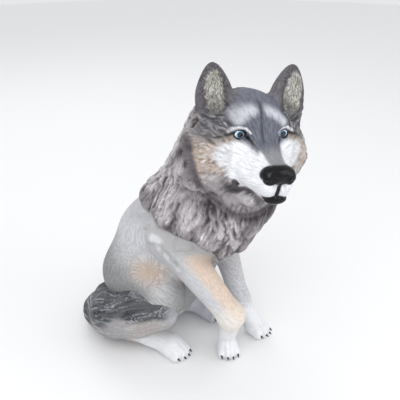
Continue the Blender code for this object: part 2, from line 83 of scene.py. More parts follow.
# Ruff: the thick collar of fur round the neck and the bib over the chest
NECK_TOP = Vector((-0.028, -0.097, 0.520))
NECK_TOP_RADIUS = 0.073
NECK_BASE = Vector((-0.009, -0.040, 0.400))
NECK_BASE_RADIUS = 0.089
BIB = Vector((-0.014, -0.068, 0.343))
BIB_SIZE = (0.088, 0.064, 0.088)
MANE = Vector((-0.002, -0.006, 0.338))
MANE_SIZE = (0.084, 0.076, 0.068)
THROAT = Vector((-0.020, -0.112, 0.415))
THROAT_SIZE = (0.088, 0.068, 0.088)
RUFF_AXIS = Vector((-0.010, -0.010))
RUFF_EDGE_FRONT = 0.238
RUFF_EDGE_SIDE = 0.338

# Tufts of the ruff: how many rings of them, how many in a ring, how far the lowest ring is above the hanging
# edge, how far out their places are cast from, and the line that the rings are centred on
TUFT_RINGS = 7
TUFTS_IN_RING = 28
TUFT_START = 0.024
TUFT_REACH = 0.22
RUFF_FOOT = Vector((-0.010, -0.022, 0.250))
RUFF_TOP = Vector((-0.030, -0.118, 0.600))

# Edge of the cheek and chin fur round the face
FACE_MIDDLE = -0.030
CHEEK_EDGE = 0.111
CHIN_DROP = 0.017
LEFT_CHEEK_DROP = 0.012
NAPE_FRONT = -0.060
NAPE_BACK = -0.100

# Which way the fur is combed: where it parts at the nose, and its pull on the face, the ruff and the body
PARTING = (0.0, 0.085, -0.040)
FACE_PULL = (0.0, -0.35, -0.25)
RUFF_PULL = (0.0, 0.12, -0.80)
RUFF_SPREAD = 0.6
BODY_PULL = (0.0, 0.30, -0.95)
TAIL_SPREAD = 0.4

# Head: the point between the eyes, how the head is turned from straight ahead, and its main sizes
BROW_POINT = Vector((-0.066, -0.187, 0.554))
HEAD_YAW = math.radians(-30)
HEAD_ROLL = math.radians(-7)
MUZZLE_ROOT = (0.0, -0.004, -0.030)
MUZZLE_TIP = (0.0, 0.059, -0.050)
MUZZLE_RADII = (0.036, 0.0265)
MUZZLE_BLEND = 0.022
JAW_ROOT = (0.0, -0.020, -0.084)
JAW_TIP = (0.0, 0.056, -0.091)
JAW_RADII = (0.031, 0.014)
LIP_BLEND = 0.006
EYE_CENTRE = (0.042, -0.0105, -0.0012)
EYE_OPENING = (0.0106, 0.0120, 0.0076)
EYE_TILT = math.radians(-11)
LID_THICKNESS = 0.0022

# Masses of the head: place to its left, front and top from the brow point, half sizes, and blend
SKULL = ((0, -0.062, -0.002), (0.066, 0.070, 0.062), 0.020)
FOREHEAD = ((0, -0.024, 0.010), (0.046, 0.034, 0.034), 0.020)
CHIN = ((0, 0.004, -0.108), (0.032, 0.032, 0.024), 0.012)
LOWER_LIP = ((0.003, 0.074, -0.090), (0.021, 0.011, 0.010), 0.006)
LEFT_TEMPLE = ((0.089, -0.060, 0.004), (0.016, 0.016, 0.034), 0.014)
WHISKER_PAD = ((0.017, 0.051, -0.061), (0.021, 0.034, 0.026), 0.010)
UPPER_LIP = ((0.013, 0.070, -0.070), (0.015, 0.016, 0.017), 0.006)
MUZZLE_SIDE = ((0.025, 0.016, -0.057), (0.026, 0.042, 0.029), 0.014)
JOWL = ((0.046, -0.022, -0.082), (0.042, 0.040, 0.036), 0.014)
CHEEKBONE = ((0.052, -0.034, -0.030), (0.040, 0.046, 0.044), 0.020)
CHEEK_FUR = ((0.077, -0.052, -0.058), (0.046, 0.038, 0.056), 0.020)
BROW = ((0.030, -0.008, 0.018), (0.022, 0.016, 0.012), 0.010)
EYE_SOCKET = ((0.044, 0.004, -0.001), (0.016, 0.012, 0.009), 0.006)
NOSE_PAD = ((0, 0.075, -0.045), (0.032, 0.016, 0.017), 0.005)
NOSE_WING = ((0.0175, 0.0815, -0.049), (0.0125, 0.0095, 0.0110), 0.004)
NOSTRIL = ((0.0125, 0.0915, -0.0500), (0.0052, 0.0058, 0.0048), 0.002)
NOSTRIL_SLIT = ((0.0215, 0.0895, -0.0540), (0.0080, 0.0062, 0.0024), 0.002)
MOUTH_CORNER = ((0.047, 0.014, -0.0835), (0.0050, 0.0110, 0.0052), 0.003)

# Ears
EAR_LENGTH = 0.080
EAR_WIDTH = 0.0355
EAR_DEPTH = 0.013
EAR_SPACING = 0.141
EAR_SHIFT = 0.0055
EAR_BACK = 0.066
EAR_RISE = 0.030
EAR_LEAN = math.radians(8)
EAR_BLEND = 0.014
EAR_HOLLOW = (0.0, 0.022, 0.026)
EAR_HOLLOW_BLEND = 0.006

# Lines of the face, alike on both halves: to the side, front and top from the brow point
LIP_LINE = ((0.049, 0.006, -0.076), (0.042, 0.022, -0.086), (0.031, 0.042, -0.096), (0.022, 0.056, -0.0985),
            (0.011, 0.072, -0.0940), (0.000, 0.078, -0.0880))
PHILTRUM = ((0.0, 0.088, -0.058), (0.0, 0.086, -0.084))

# Legs: where each joint is, and the radius of the limb there
FORELEG_RIGHT = ((-0.078, -0.050, 0.350), (-0.096, 0.006, 0.292), (-0.052, -0.123, 0.128),
                 (-0.024, -0.094, 0.040))
FORELEG_LEFT = ((0.056, -0.040, 0.330), (0.063, -0.008, 0.240), (0.055, -0.071, 0.090),
                (0.067, -0.103, 0.030))
FORELEG_RIGHT_RADII = (0.060, 0.042, 0.0260, 0.0185)
FORELEG_LEFT_RADII = (0.052, 0.031, 0.0210, 0.0190)
HIND_RIGHT = ((-0.088, 0.115, 0.165), (-0.112, 0.012, 0.150), (-0.126, 0.104, 0.039),
              (-0.108, -0.001, 0.028))
HIND_LEFT = ((0.070, 0.125, 0.150), (0.078, 0.062, 0.130), (0.030, 0.105, 0.034), (0.052, 0.020, 0.028))
HIND_LEFT_FULLNESS = 0.86
THIGH_RADIUS = 0.072
KNEE_RADIUS = 0.046
SHANK_RADIUS = 0.030
RIGHT_PAW_TURN = math.radians(-42)
PAW_SIZE = (0.0240, 0.0310, 0.021)
HIND_PAW_SCALE = 1.10
PAW_SINK = 0.0025
PAW_AHEAD = 0.35
TOES_AHEAD = (0.42, 0.62, 0.62, 0.42)
TOE_PITCH = 0.0120
TOE_SIZE = (0.0068, 0.0125, 0.0120)
TOE_DROP = -0.004

# Tail: the points it passes through from the rump round the right side, and its radius at each
TAIL_POINTS = ((-0.010, 0.205, 0.030), (-0.070, 0.224, 0.034), (-0.124, 0.192, 0.042),
               (-0.150, 0.118, 0.080), (-0.152, 0.046, 0.116), (-0.140, -0.004, 0.130))
TAIL_RADII = (0.030, 0.034, 0.041, 0.053, 0.050, 0.034)

# The feathering down the back of the right foreleg: the elbow tuft and the line of locks under it
ELBOW_TUFT = Vector((-0.144, 0.000, 0.311))
FEATHER_LINE = ((-0.140, -0.006, 0.296), (-0.132, -0.026, 0.268), (-0.123, -0.042, 0.244))

# Middle of the tan patch on the haunch, and how far from it the radiating hairs start and end
HAUNCH_PATCH = (-0.128, 0.039, 0.211)
HAUNCH_WHORL = (0.004, 0.044)

# Length, width and height of the feathering's locks
FEATHER_LOCKS = (0.024, 0.0068, 0.0034)

# Depth and half width of the carved line of the lips, the cleft under the nose and the clefts of the toes
LIP_CUT = (0.0032, 0.0026)
NOSE_CUT = (0.0016, 0.0022)
TOE_CUT = (0.0030, 0.0017)

# Where the skin is finer: down to this far under the ruff's edge, this near the brow point, and this many
# lengths of a paw from its middle; it is finest on the face, ahead of this, and this far to each side and
# above and below its middle
FINE_RUFF = 0.014
FINE_HEAD = 0.17
FINE_PAW = 1.4
FINEST_FRONT = -0.019
FINEST_SIDE = 0.062
FINEST_MIDDLE = -0.040
FINEST_RISE = 0.060

# Claws: how far they are turned forward and down from upright, their seat ahead of and above the toe's
# middle, and the part of their root's radius that is left at the tip
CLAW_DROOP = math.radians(112)
CLAW_SEAT = (0.0112, 0.0010)
CLAW_TIP = 0.25

# Seeds of the scattered locks
COAT_SEED = 7
TAIL_SEED = 11

# Airbrushed clouds on the body: paint, middle, half sizes, softness of the edge and strength
BODY_CLOUDS = (("pale", (-0.085, 0.090, 0.290), (0.090, 0.110, 0.070), 1.2, 0.45),
               ("dusk", (-0.060, 0.200, 0.190), (0.150, 0.100, 0.060), 1.0, 0.75),
               # Painted shade under the chest, between the right legs
               ("dusk", (-0.090, -0.045, 0.150), (0.060, 0.055, 0.060), 0.9, 0.65),
               ("dusk", (-0.100, 0.125, 0.168), (0.085, 0.110, 0.048), 0.7, 0.80),
               # Painted shade in the crease between the haunch and the top of the tail
               ("dusk", (-0.130, 0.045, 0.162), (0.050, 0.055, 0.024), 0.8, 0.60))

# Painted lines of the face, to the side of and above the brow point
CHEEK_SWEEP = ((0.060, -0.010), (0.085, -0.026), (0.104, -0.040))
# The line under each eye is a crease, greyed as painted shade
UNDER_EYE = ((0.058, -0.014), (0.046, -0.021), (0.036, -0.026))
JAW_SHADE = ((0.069, -0.084), (0.054, -0.093), (0.036, -0.103))
BROW_LINE = ((0.043, 0.023), (0.034, 0.031), (0.023, 0.037), (0.013, 0.040))
FOREHEAD_LINE = ((-0.005, 0.050), (-0.010, 0.027), (-0.009, -0.005))
# The arc along each upper lid is a painted highlight
LID_HIGHLIGHT = ((0.063, 0.001), (0.056, 0.0075), (0.046, 0.0125), (0.036, 0.0115), (0.028, 0.0045))
EYE_TAIL = ((0.052, 0.001), (0.066, -0.002), (0.076, -0.007), (0.090, -0.016))
EYE_CREASE = ((0.090, -0.016), (0.103, -0.028), (0.115, -0.037))
EYE_INNER = ((0.031, -0.004), (0.027, -0.008), (0.025, -0.012))
NOSE_CLEFT = ((0.0, -0.054), (0.0, -0.084))

# Lower edge of the upper jaw: height at each distance to the side
JAW_EDGE_SIDE = (0.010, 0.022, 0.031, 0.042, 0.049, 0.075)
JAW_EDGE_TOP = (-0.094, -0.099, -0.096, -0.086, -0.076, -0.068)

# Half width of the slate bridge at each distance to the front
BRIDGE_FRONT = (0.0, 0.020, 0.034, 0.057, 0.077)
BRIDGE_HALF = (0.030, 0.026, 0.0175, 0.0150, 0.0125)

# Studio lights: name, place, size and power
LIGHTS = (("key_light", (-1.5, -1.0, 2.2), 1.6, 25.0),
          ("front_light", (0.6, -2.2, 1.4), 1.4, 9.0),
          ("back_light", (0.9, 1.6, 1.9), 1.4, 8.0))


def colour(name, about, value):
    return FloatVectorProperty(name=name, description=about, default=value, subtype="COLOR", min=0, max=1)


def length(name, about, value):
    return FloatProperty(name=name, description=about, default=value, min=0.0, unit="LENGTH", precision=4)


class WolfSizes(bpy.types.PropertyGroup):
    """Sizes of the carved coat."""

    skin_cell: length("Skin cell", "Size of the coat's facets on the smooth body", 0.0054)
    tail_cell: length("Tail cell", "Size of the coat's facets on the tail", 0.0023)
    tuft_length: length("Tuft length", "Length of the ruff's large tufts", 0.066)
    tuft_width: length("Tuft width", "Width of the ruff's large tufts", 0.027)
    tuft_height: length("Tuft height", "How far the large tufts stand out", 0.0060)
    lock_length: length("Lock length", "Length of the small locks on the ruff", 0.046)
    lock_width: length("Lock width", "Width of the small locks on the ruff", 0.0075)
    lock_height: length("Lock height", "How far the small locks stand out", 0.0038)
    cheek_length: length("Cheek lock length", "Length of the locks on the cheeks", 0.026)
    cheek_width: length("Cheek lock width", "Width of the locks on the cheeks", 0.0070)
    cheek_height: length("Cheek lock height", "How far the cheek locks stand out", 0.0028)
    tail_length: length("Tail lock length", "Length of the locks on the tail", 0.080)
    tail_width: length("Tail lock width", "Width of the locks on the tail", 0.0046)
    tail_height: length("Tail lock height", "How far the tail's locks stand out", 0.0020)
    ruff_lift: length("Ruff lift", "How far the ruff's lower edge overhangs the body", 0.0060)
    cheek_groove: length("Cheek groove", "Depth of the groove between cheeks and ruff", 0.0055)
    eye_radius: length("Eye radius", "Radius of each eyeball", 0.0125)
    claw_length: length("Claw length", "Length of each claw", 0.0135)
    claw_radius: length("Claw radius", "Radius of each claw at its root", 0.0041)


class WolfColours(bpy.types.PropertyGroup):
    """Paints of the coat."""

    white: colour("White", "Muzzle, cheeks and paws", (0.80, 0.81, 0.835))
    pale: colour("Pale grey", "Brow patches and rims", (0.62, 0.63, 0.68))
    grey: colour("Grey", "Back and sides", (0.49, 0.485, 0.49))
    # Dark grey also carries painted shade under the belly, between the legs and in the crease above the tail
    dusk: colour("Dark grey", "Lower back and belly", (0.205, 0.212, 0.210))
    slate: colour("Slate", "Forehead and bridge", (0.128, 0.137, 0.170))
    umber: colour("Umber", "Brown grey of temples and ears", (0.135, 0.126, 0.140))
    tan: colour("Tan", "Cheeks, haunch and under the tail", (0.540, 0.430, 0.350))
    sand: colour("Sand", "Outer side of the forelegs", (0.740, 0.560, 0.420))
    cream: colour("Cream", "Wrists of the forelegs", (0.800, 0.755, 0.685))
    olive: colour("Olive", "Inside of the ears", (0.400, 0.380, 0.300))
    ruff: colour("Ruff", "Middle tone of the ruff", (0.365, 0.330, 0.342))
    frost: colour("Frost", "Ridges of the ruff's locks", (0.760, 0.720, 0.740))
    shadow: colour("Shadow", "Grooves between the locks", (0.036, 0.028, 0.034))
    char: colour("Charcoal", "Dark strokes of the tail", (0.026, 0.030, 0.038))
    moss: colour("Moss grey", "Rear bend of the tail", (0.052, 0.062, 0.058))
    black: colour("Black", "Nose, lips and claws", (0.006, 0.006, 0.008))
    iris: colour("Iris", "Deep blue round the pupils", (0.070, 0.200, 0.420))
    sky: colour("Light blue", "Light blue of the eyes", (0.330, 0.590, 0.800))
    eye_white: colour("Eye white", "Pale outer ring of the eyes", (0.780, 0.880, 0.930))
    floor: colour("Floor", "Pale studio floor", (0.90, 0.90, 0.90))


class StudioSizes(bpy.types.PropertyGroup):
    """Camera and lights."""

    lens: FloatProperty(name="Lens", description="Focal length on a 36 mm sensor", default=57.6,
                        unit="CAMERA")
    azimuth: FloatProperty(name="Azimuth", description="Camera's turn from straight ahead",
                           default=math.radians(-52), subtype="ANGLE")
    elevation: FloatProperty(name="Elevation", description="Camera's height angle",
                             default=math.radians(27), subtype="ANGLE")
    distance: length("Distance", "From the camera to its aim", 1.35)
    aim_height: length("Aim height", "Height of the camera's aim above the modelling point", 0.34)
    sky_strength: FloatProperty(name="Sky strength", description="Brightness of the soft light all round",
                                default=0.82, min=0.0)
    floor_size: length("Floor size", "Width of the floor", 9.0)
    floor_cuts: IntProperty(name="Floor cuts", description="Segments of the floor's rim", default=48, min=12)


def smooth_step(low, high, value):
    """0 at low, 1 at high, and an even S between them."""
    t = np.clip((value - low) / (high - low), 0.0, 1.0)
    return t * t * (3.0 - 2.0 * t)


def unit(vectors):
    return vectors / np.maximum(np.linalg.norm(vectors, axis=-1, keepdims=True), 1e-9)


def head_axes():
    """Columns are the head's left side, its front and its top."""
    front = Vector((math.sin(HEAD_YAW), -math.cos(HEAD_YAW), 0.0))
    level_side = Vector((math.cos(HEAD_YAW), math.sin(HEAD_YAW), 0.0))
    side = level_side * math.cos(HEAD_ROLL) + Vector((0, 0, math.sin(HEAD_ROLL)))
    return Matrix((side, front, front.cross(side))).transposed()


HEAD = head_axes()


def in_head(side, front, top):
    """World position of a point given from the brow point along the head's own axes."""
    return BROW_POINT + HEAD @ Vector((side, front, top))


def to_head(points):
    """Points along the head's side, front and top, from the brow point."""
    return (points - np.array(BROW_POINT)) @ np.array(HEAD)


class Clay:
    """Round masses that blend into one skin, added and taken out in order."""

    REACH = 0.045

    def __init__(self):
        self.steps = []
        self.paws = []

    def lump(self, centre, size, blend=0.02, turn=None):
        """An egg with three half sizes, turned by a rotation matrix."""
        self.steps.append(("lump", Vector(centre), size, turn or Matrix.Identity(3), blend))

    def limb(self, start, end, start_radius, end_radius, blend=0.02):
        """A tapered rod with round ends."""
        self.steps.append(("limb", Vector(start), Vector(end), (start_radius, end_radius), blend))

    def chain(self, joints, radii, blend):
        """Tapered rods from joint to joint."""
        for start, end, start_radius, end_radius in zip(joints, joints[1:], radii, radii[1:]):
            self.limb(start, end, start_radius, end_radius, blend)

    def scoop(self, centre, size, blend=0.006, turn=None):
        """An egg that is taken out of what is there."""
        self.steps.append(("scoop", Vector(centre), size, turn or Matrix.Identity(3), blend))

    @staticmethod
    def reach_of(step):
        """Centre and radius of the ball that holds one mass."""
        kind, first, second, third, _ = step
        if kind == "limb":
            return (first + second) / 2, (first - second).length / 2 + max(third)
        return first, max(second)

    @staticmethod
    def mass_distance(step, points):
        """Signed distance from points to one mass, negative inside it."""
        kind, first, second, third, _ = step
        if kind == "limb":
            axis = np.array(second - first)
            offset = points - np.array(first)
            along = np.clip(offset @ axis / (axis @ axis), 0.0, 1.0)
            radius = third[0] + (third[1] - third[0]) * along
            return np.linalg.norm(offset - along[:, None] * axis, axis=1) - radius
        size = np.array(second)
        local = (points - np.array(first)) @ np.array(third) / size
        reach = np.linalg.norm(local, axis=1)
        slope = np.linalg.norm(local / size, axis=1)
        return reach * (reach - 1.0) / np.maximum(slope, 1e-9)

    def distance(self, points):
        """Signed distance to the blended skin, for points near it."""
        total = np.full(len(points), 1.0)
        for step in self.steps:
            centre, radius = self.reach_of(step)
            apart = points - np.array(centre)
            close = np.nonzero(np.einsum("ij,ij->i", apart, apart) < (radius + self.REACH) ** 2)[0]
            if not len(close):
                continue
            blend = step[-1]
            outside = -1.0 if step[0] == "scoop" else 1.0
            here = total[close] * outside
            other = self.mass_distance(step, points[close])
            overlap = np.maximum(blend - np.abs(here - other), 0.0) / blend
            total[close] = (np.minimum(here, other) - overlap * overlap * blend / 4.0) * outside
        return total

    def outward(self, points, step=0.0005):
        """Outward unit direction of the skin near each point."""
        total = np.zeros_like(points)
        for corner in ((1, -1, -1), (-1, -1, 1), (-1, 1, -1), (1, 1, 1)):
            corner = np.array(corner, float)
            total += corner * self.distance(points + corner * step)[:, None]
        return unit(total)

    def settle(self, points, rounds=2):
        """Moves points onto the blended skin."""
        for _ in range(rounds):
            points = points - self.outward(points) * np.clip(self.distance(points), -0.01, 0.01)[:, None]
        return points


def place(put, mass, side=1):
    """Puts one mass or hollow of the head, given for its left half."""
    (across, front, top), size, blend = mass
    put(in_head(side * across, front, top), size, blend, HEAD)


def add_trunk(clay):
    clay.chain((CHEST, LOIN, RUMP), (CHEST_RADIUS, LOIN_RADIUS, RUMP_RADIUS), BODY_BLEND)
    clay.lump(SEAT, SEAT_SIZE, SEAT_BLEND)


def add_ruff(clay):
    clay.limb(NECK_TOP, NECK_BASE, NECK_TOP_RADIUS, NECK_BASE_RADIUS, BODY_BLEND)
    clay.lump(BIB, BIB_SIZE, BODY_BLEND)
    clay.lump(MANE, MANE_SIZE, BODY_BLEND)
    clay.lump(THROAT, THROAT_SIZE, BODY_BLEND)


def add_head(clay, eye_radius):
    place(clay.lump, SKULL)
    place(clay.lump, FOREHEAD)
    clay.limb(in_head(*MUZZLE_ROOT), in_head(*MUZZLE_TIP), *MUZZLE_RADII, MUZZLE_BLEND)
    clay.limb(in_head(*JAW_ROOT), in_head(*JAW_TIP), *JAW_RADII, LIP_BLEND)
    place(clay.lump, CHIN)
    place(clay.lump, LOWER_LIP)
    for side in (-1, 1):
        for mass in (WHISKER_PAD, UPPER_LIP, MUZZLE_SIDE, JOWL, CHEEKBONE, CHEEK_FUR, BROW):
            place(clay.lump, mass, side)
        add_eye_socket(clay, side, eye_radius)
        add_ear(clay, side)
        place(clay.scoop, MOUTH_CORNER, side)
    place(clay.lump, LEFT_TEMPLE)
    place(clay.lump, NOSE_PAD)
    for side in (-1, 1):
        place(clay.lump, NOSE_WING, side)
        place(clay.scoop, NOSTRIL, side)
        place(clay.scoop, NOSTRIL_SLIT, side)


def add_eye_socket(clay, side, eye_radius):
    """A hollow, the lids round the eyeball, their almond opening and the eyeball behind it."""
    across, front, top = EYE_CENTRE
    place(clay.scoop, EYE_SOCKET, side)
    clay.lump(in_head(side * across, front, top), (eye_radius + LID_THICKNESS,) * 3, 0.005, HEAD)
    tilt = HEAD @ Matrix.Rotation(side * EYE_TILT, 3, "Y")
    clay.scoop(in_head(side * across, front + eye_radius - 0.001, top), EYE_OPENING, 0.002, tilt)
    clay.lump(in_head(side * across, front, top), (eye_radius - 0.0006,) * 3, 0.0006, HEAD)


def ear_lean(side):
    """Foot of one ear, and how it leans."""
    root = in_head(side * EAR_SPACING / 2 + EAR_SHIFT, -EAR_BACK, EAR_RISE)
    lean = HEAD @ Matrix.Rotation(side * EAR_LEAN, 3, "Y") @ Matrix.Rotation(EAR_LEAN, 3, "X")
    return root, lean


def add_ear(clay, side):
    """An upright ear: a broad base, a narrower tip, and the hollow of its front."""
    root, lean = ear_lean(side)
    base = root + lean @ Vector((0, 0, EAR_LENGTH * 0.15))
    tip = root + lean @ Vector((0, 0, EAR_LENGTH * 0.6))
    clay.lump(base, (EAR_WIDTH, EAR_DEPTH * 1.5, EAR_LENGTH * 0.62), EAR_BLEND, lean)
    clay.lump(tip, (EAR_WIDTH * 0.5, EAR_DEPTH * 0.8, EAR_LENGTH * 0.34), EAR_BLEND, lean)
    clay.scoop(root + lean @ Vector(EAR_HOLLOW), (EAR_WIDTH * 0.56, EAR_DEPTH * 1.2, EAR_LENGTH * 0.50),
               EAR_HOLLOW_BLEND, lean)


def add_foreleg(clay, joints, radii, turned_out):
    clay.chain(joints, radii, LEG_BLEND)
    add_paw(clay, Vector(joints[-1]), turned_out)


def add_hind_leg(clay, joints, fullness):
    hip, knee, hock, toes = (Vector(joint) for joint in joints)
    clay.limb(hip, knee, THIGH_RADIUS * fullness, KNEE_RADIUS * fullness, BODY_BLEND)
    clay.limb(knee, hock, KNEE_RADIUS * 0.9 * fullness, SHANK_RADIUS, LEG_BLEND)
    clay.limb(hock, toes, SHANK_RADIUS * 0.95, SHANK_RADIUS * 0.8, LEG_BLEND)
    add_paw(clay, toes, 0.0, HIND_PAW_SCALE)


def toe_places(centre, turn, scale):
    """Where each of a paw's four toes is."""
    for toe, ahead in zip((-1.5, -0.5, 0.5, 1.5), TOES_AHEAD):
        yield centre + turn @ Vector((toe * TOE_PITCH * scale, -ahead * PAW_SIZE[1] * scale, TOE_DROP))


def add_paw(clay, ankle, turned_out, scale=1.0):
    """A paw and its four toes under the ankle, its sole just below the base so that it is cut flat."""
    turn = Matrix.Rotation(turned_out, 3, "Z")
    size = Vector(PAW_SIZE) * scale
    centre = Vector((ankle.x, ankle.y, size.z - PAW_SINK)) + turn @ Vector((0, -PAW_AHEAD * size.y, 0))
    clay.lump(centre, size, PAW_BLEND, turn)
    for toe in toe_places(centre, turn, scale):
        clay.lump(toe, Vector(TOE_SIZE) * scale, TOE_BLEND, turn)
    clay.paws.append((centre, turn, scale))


def wolf_clay(eye_radius):
    clay = Clay()
    add_trunk(clay)
    add_ruff(clay)
    add_hind_leg(clay, HIND_RIGHT, 1.0)
    add_hind_leg(clay, HIND_LEFT, HIND_LEFT_FULLNESS)
    add_foreleg(clay, FORELEG_RIGHT, FORELEG_RIGHT_RADII, RIGHT_PAW_TURN)
    add_foreleg(clay, FORELEG_LEFT, FORELEG_LEFT_RADII, 0.0)
    add_head(clay, eye_radius)
    return clay


def tail_clay():
    clay = Clay()
    clay.chain(TAIL_POINTS, TAIL_RADII, TAIL_BLEND)
    return clay


def finished_mesh(bm, name):
    """The modelled shape as a mesh of its own."""
    mesh = bpy.data.meshes.new(name)
    bm.to_mesh(mesh)
    bm.free()
    return mesh


def sort_faces(bm):
    """Sorts the faces by their corners, because a sphere's come in an order that changes from run to run."""
    bm.verts.index_update()
    count = len(bm.verts)

    def rank(face):
        first, second, third = sorted(corner.index for corner in face.verts)[:3]
        return (first * count + second) * count + third

    bm.faces.sort(key=rank)


def rough_block(clay):
    """One mesh holding a simple shape for each mass, for the remesher to join."""
    bm = bmesh.new()
    for kind, first, second, third, _ in clay.steps:
        if kind == "limb":
            steps = max(2, int((second - first).length / min(third)) + 2)
            for i in range(steps):
                t = i / (steps - 1)
                radius = third[0] + (third[1] - third[0]) * t
                bmesh.ops.create_icosphere(bm, subdivisions=3, radius=radius,
                                           matrix=Matrix.Translation(first.lerp(second, t)))
        elif kind == "lump" and min(second) > 0.008:
            place = Matrix.Translation(first) @ (third @ Matrix.Diagonal(second)).to_4x4()
            bmesh.ops.create_icosphere(bm, subdivisions=4, radius=1.0, matrix=place)
    return finished_mesh(bm, "rough_block")


def through_modifier(mesh, kind, **settings):
    """The mesh as one modifier leaves it."""
    holder = bpy.data.objects.new("holder", mesh)
    bpy.context.scene.collection.objects.link(holder)
    modifier = holder.modifiers.new(kind.title(), kind)
    for name, value in settings.items():
        setattr(modifier, name, value)
    bpy.context.view_layer.update()
    shaped = bpy.data.meshes.new_from_object(holder.evaluated_get(bpy.context.evaluated_depsgraph_get()))
    bpy.data.objects.remove(holder)
    bpy.data.meshes.remove(mesh)
    return shaped


def get_points(mesh):
    points = np.empty(len(mesh.vertices) * 3)
    mesh.vertices.foreach_get("co", points)
    return points.reshape(-1, 3)


def set_points(mesh, points):
    mesh.vertices.foreach_set("co", points.ravel())
    mesh.update()


def skin(clay, cell):
    """The blended skin of all the masses, as an even mesh."""
    mesh = through_modifier(rough_block(clay), "REMESH", mode="VOXEL", voxel_size=cell)
    set_points(mesh, clay.settle(get_points(mesh), 3))
    mesh = through_modifier(mesh, "REMESH", mode="VOXEL", voxel_size=cell)
    set_points(mesh, clay.settle(get_points(mesh)))
    return mesh


def refine(mesh, clay, fine):
    """Halves the cells where fine is true, and settles the new points."""
    bm = bmesh.new()
    bm.from_mesh(mesh)
    edges = [e for e in bm.edges if fine[e.verts[0].index] and fine[e.verts[1].index]]
    bmesh.ops.subdivide_edges(bm, edges=edges, cuts=1, use_grid_fill=True)
    bmesh.ops.triangulate(bm, faces=[f for f in bm.faces if len(f.verts) > 4])
    bm.to_mesh(mesh)
    bm.free()
    set_points(mesh, clay.settle(get_points(mesh), 1))


def cut_base(mesh):
    """Cuts the mesh flat on the floor and moves it into the casting's frame."""
    bm = bmesh.new()
    bm.from_mesh(mesh)
    cut = bmesh.ops.bisect_plane(bm, geom=bm.verts[:] + bm.edges[:] + bm.faces[:],
                                 plane_co=(0, 0, BASE_HEIGHT), plane_no=(0, 0, 1), clear_inner=True)
    rim = [e for e in cut["geom_cut"] if isinstance(e, bmesh.types.BMEdge)]
    bmesh.ops.holes_fill(bm, edges=rim, sides=0)
    bmesh.ops.translate(bm, verts=bm.verts, vec=CAST_ORIGIN)
    bm.to_mesh(mesh)
    bm.free()


class Grid:
    """Finds the points near a place."""

    ROW = 4096

    def __init__(self, points, cell):
        self.cell = cell
        codes = self.code(np.floor(points / cell).astype(np.int64))
        self.order = np.argsort(codes, kind="stable")
        self.codes = codes[self.order]

    def code(self, keys):
        """One number for each cell."""
        half = self.ROW // 2
        return ((keys[..., 0] + half) * self.ROW + keys[..., 1] + half) * self.ROW + keys[..., 2]

    def near(self, place, reach):
        """Points in the cells round a place."""
        low = np.floor((place - reach) / self.cell).astype(np.int64)
        high = np.floor((place + reach) / self.cell).astype(np.int64)
        across, deep = (range(low[axis], high[axis] + 1) for axis in (0, 1))
        columns = np.array([(x, y, low[2]) for x in across for y in deep])
        starts = np.searchsorted(self.codes, self.code(columns))
        columns[:, 2] = high[2] + 1
        ends = np.searchsorted(self.codes, self.code(columns))
        return np.concatenate([self.order[a:b] for a, b in zip(starts, ends)])


def scatter(points, weight, spacing, rng):
    """Roots at about one spacing from each other, where the weight is over a half."""
    order = np.nonzero(weight > 0.5)[0].tolist()
    rng.shuffle(order)
    taken = {}
    roots = []
    around = [(a, b, c) for a in (-1, 0, 1) for b in (-1, 0, 1) for c in (-1, 0, 1)]
    for i in order:
        x, y, z = points[i]
        cell = (int(x // spacing), int(y // spacing), int(z // spacing))
        near = (taken.get((cell[0] + a, cell[1] + b, cell[2] + c)) for a, b, c in around)
        if any(p and (x - p[0]) ** 2 + (y - p[1]) ** 2 + (z - p[2]) ** 2 < spacing ** 2 for p in near):
            continue
        taken[cell] = (x, y, z)
        roots.append(i)
    return roots


def ruff_edge(points):
    """Height of the ruff's hanging lower edge below each point."""
    turned = np.degrees(np.abs(np.arctan2(points[:, 0] - RUFF_AXIS.x, RUFF_AXIS.y - points[:, 1])))
    return RUFF_EDGE_FRONT + (RUFF_EDGE_SIDE - RUFF_EDGE_FRONT) * smooth_step(12, 68, turned)


def head_depth(local):
    """How far inside the edge of the cheek and chin fur each point is, from its place in the head."""
    drop = local[:, 2] - FACE_MIDDLE
    round_face = np.hypot(local[:, 0], drop)
    down = np.clip(-drop / np.maximum(round_face, 1e-6), 0.0, 1.0)
    edge = CHEEK_EDGE + CHIN_DROP * down ** 12 + LEFT_CHEEK_DROP * smooth_step(0.0, 0.06, local[:, 0])
    behind = smooth_step(NAPE_FRONT, NAPE_BACK, local[:, 1])
    return (edge - round_face) * (1.0 - behind) - 0.01 * behind


def flat_to_skin(flow, outward):
    """The flow without what points out of the skin."""
    return unit(flow - outward * np.sum(flow * outward, axis=1, keepdims=True))


def coat_flow(points, outward):
    """Which way the fur lies on the head and the ruff: back from the nose, and outward and down."""
    local = to_head(points)
    face_flow = (unit(local - np.array(PARTING)) + np.array(FACE_PULL)) @ np.array(HEAD).T
    away = unit(points - np.array(in_head(0, -0.02, 0.0)))
    ruff_flow = away * RUFF_SPREAD + np.array(RUFF_PULL)
    on_head = smooth_step(-0.006, 0.006, head_depth(local))[:, None]
    return flat_to_skin(ruff_flow * (1.0 - on_head) + face_flow * on_head, outward)


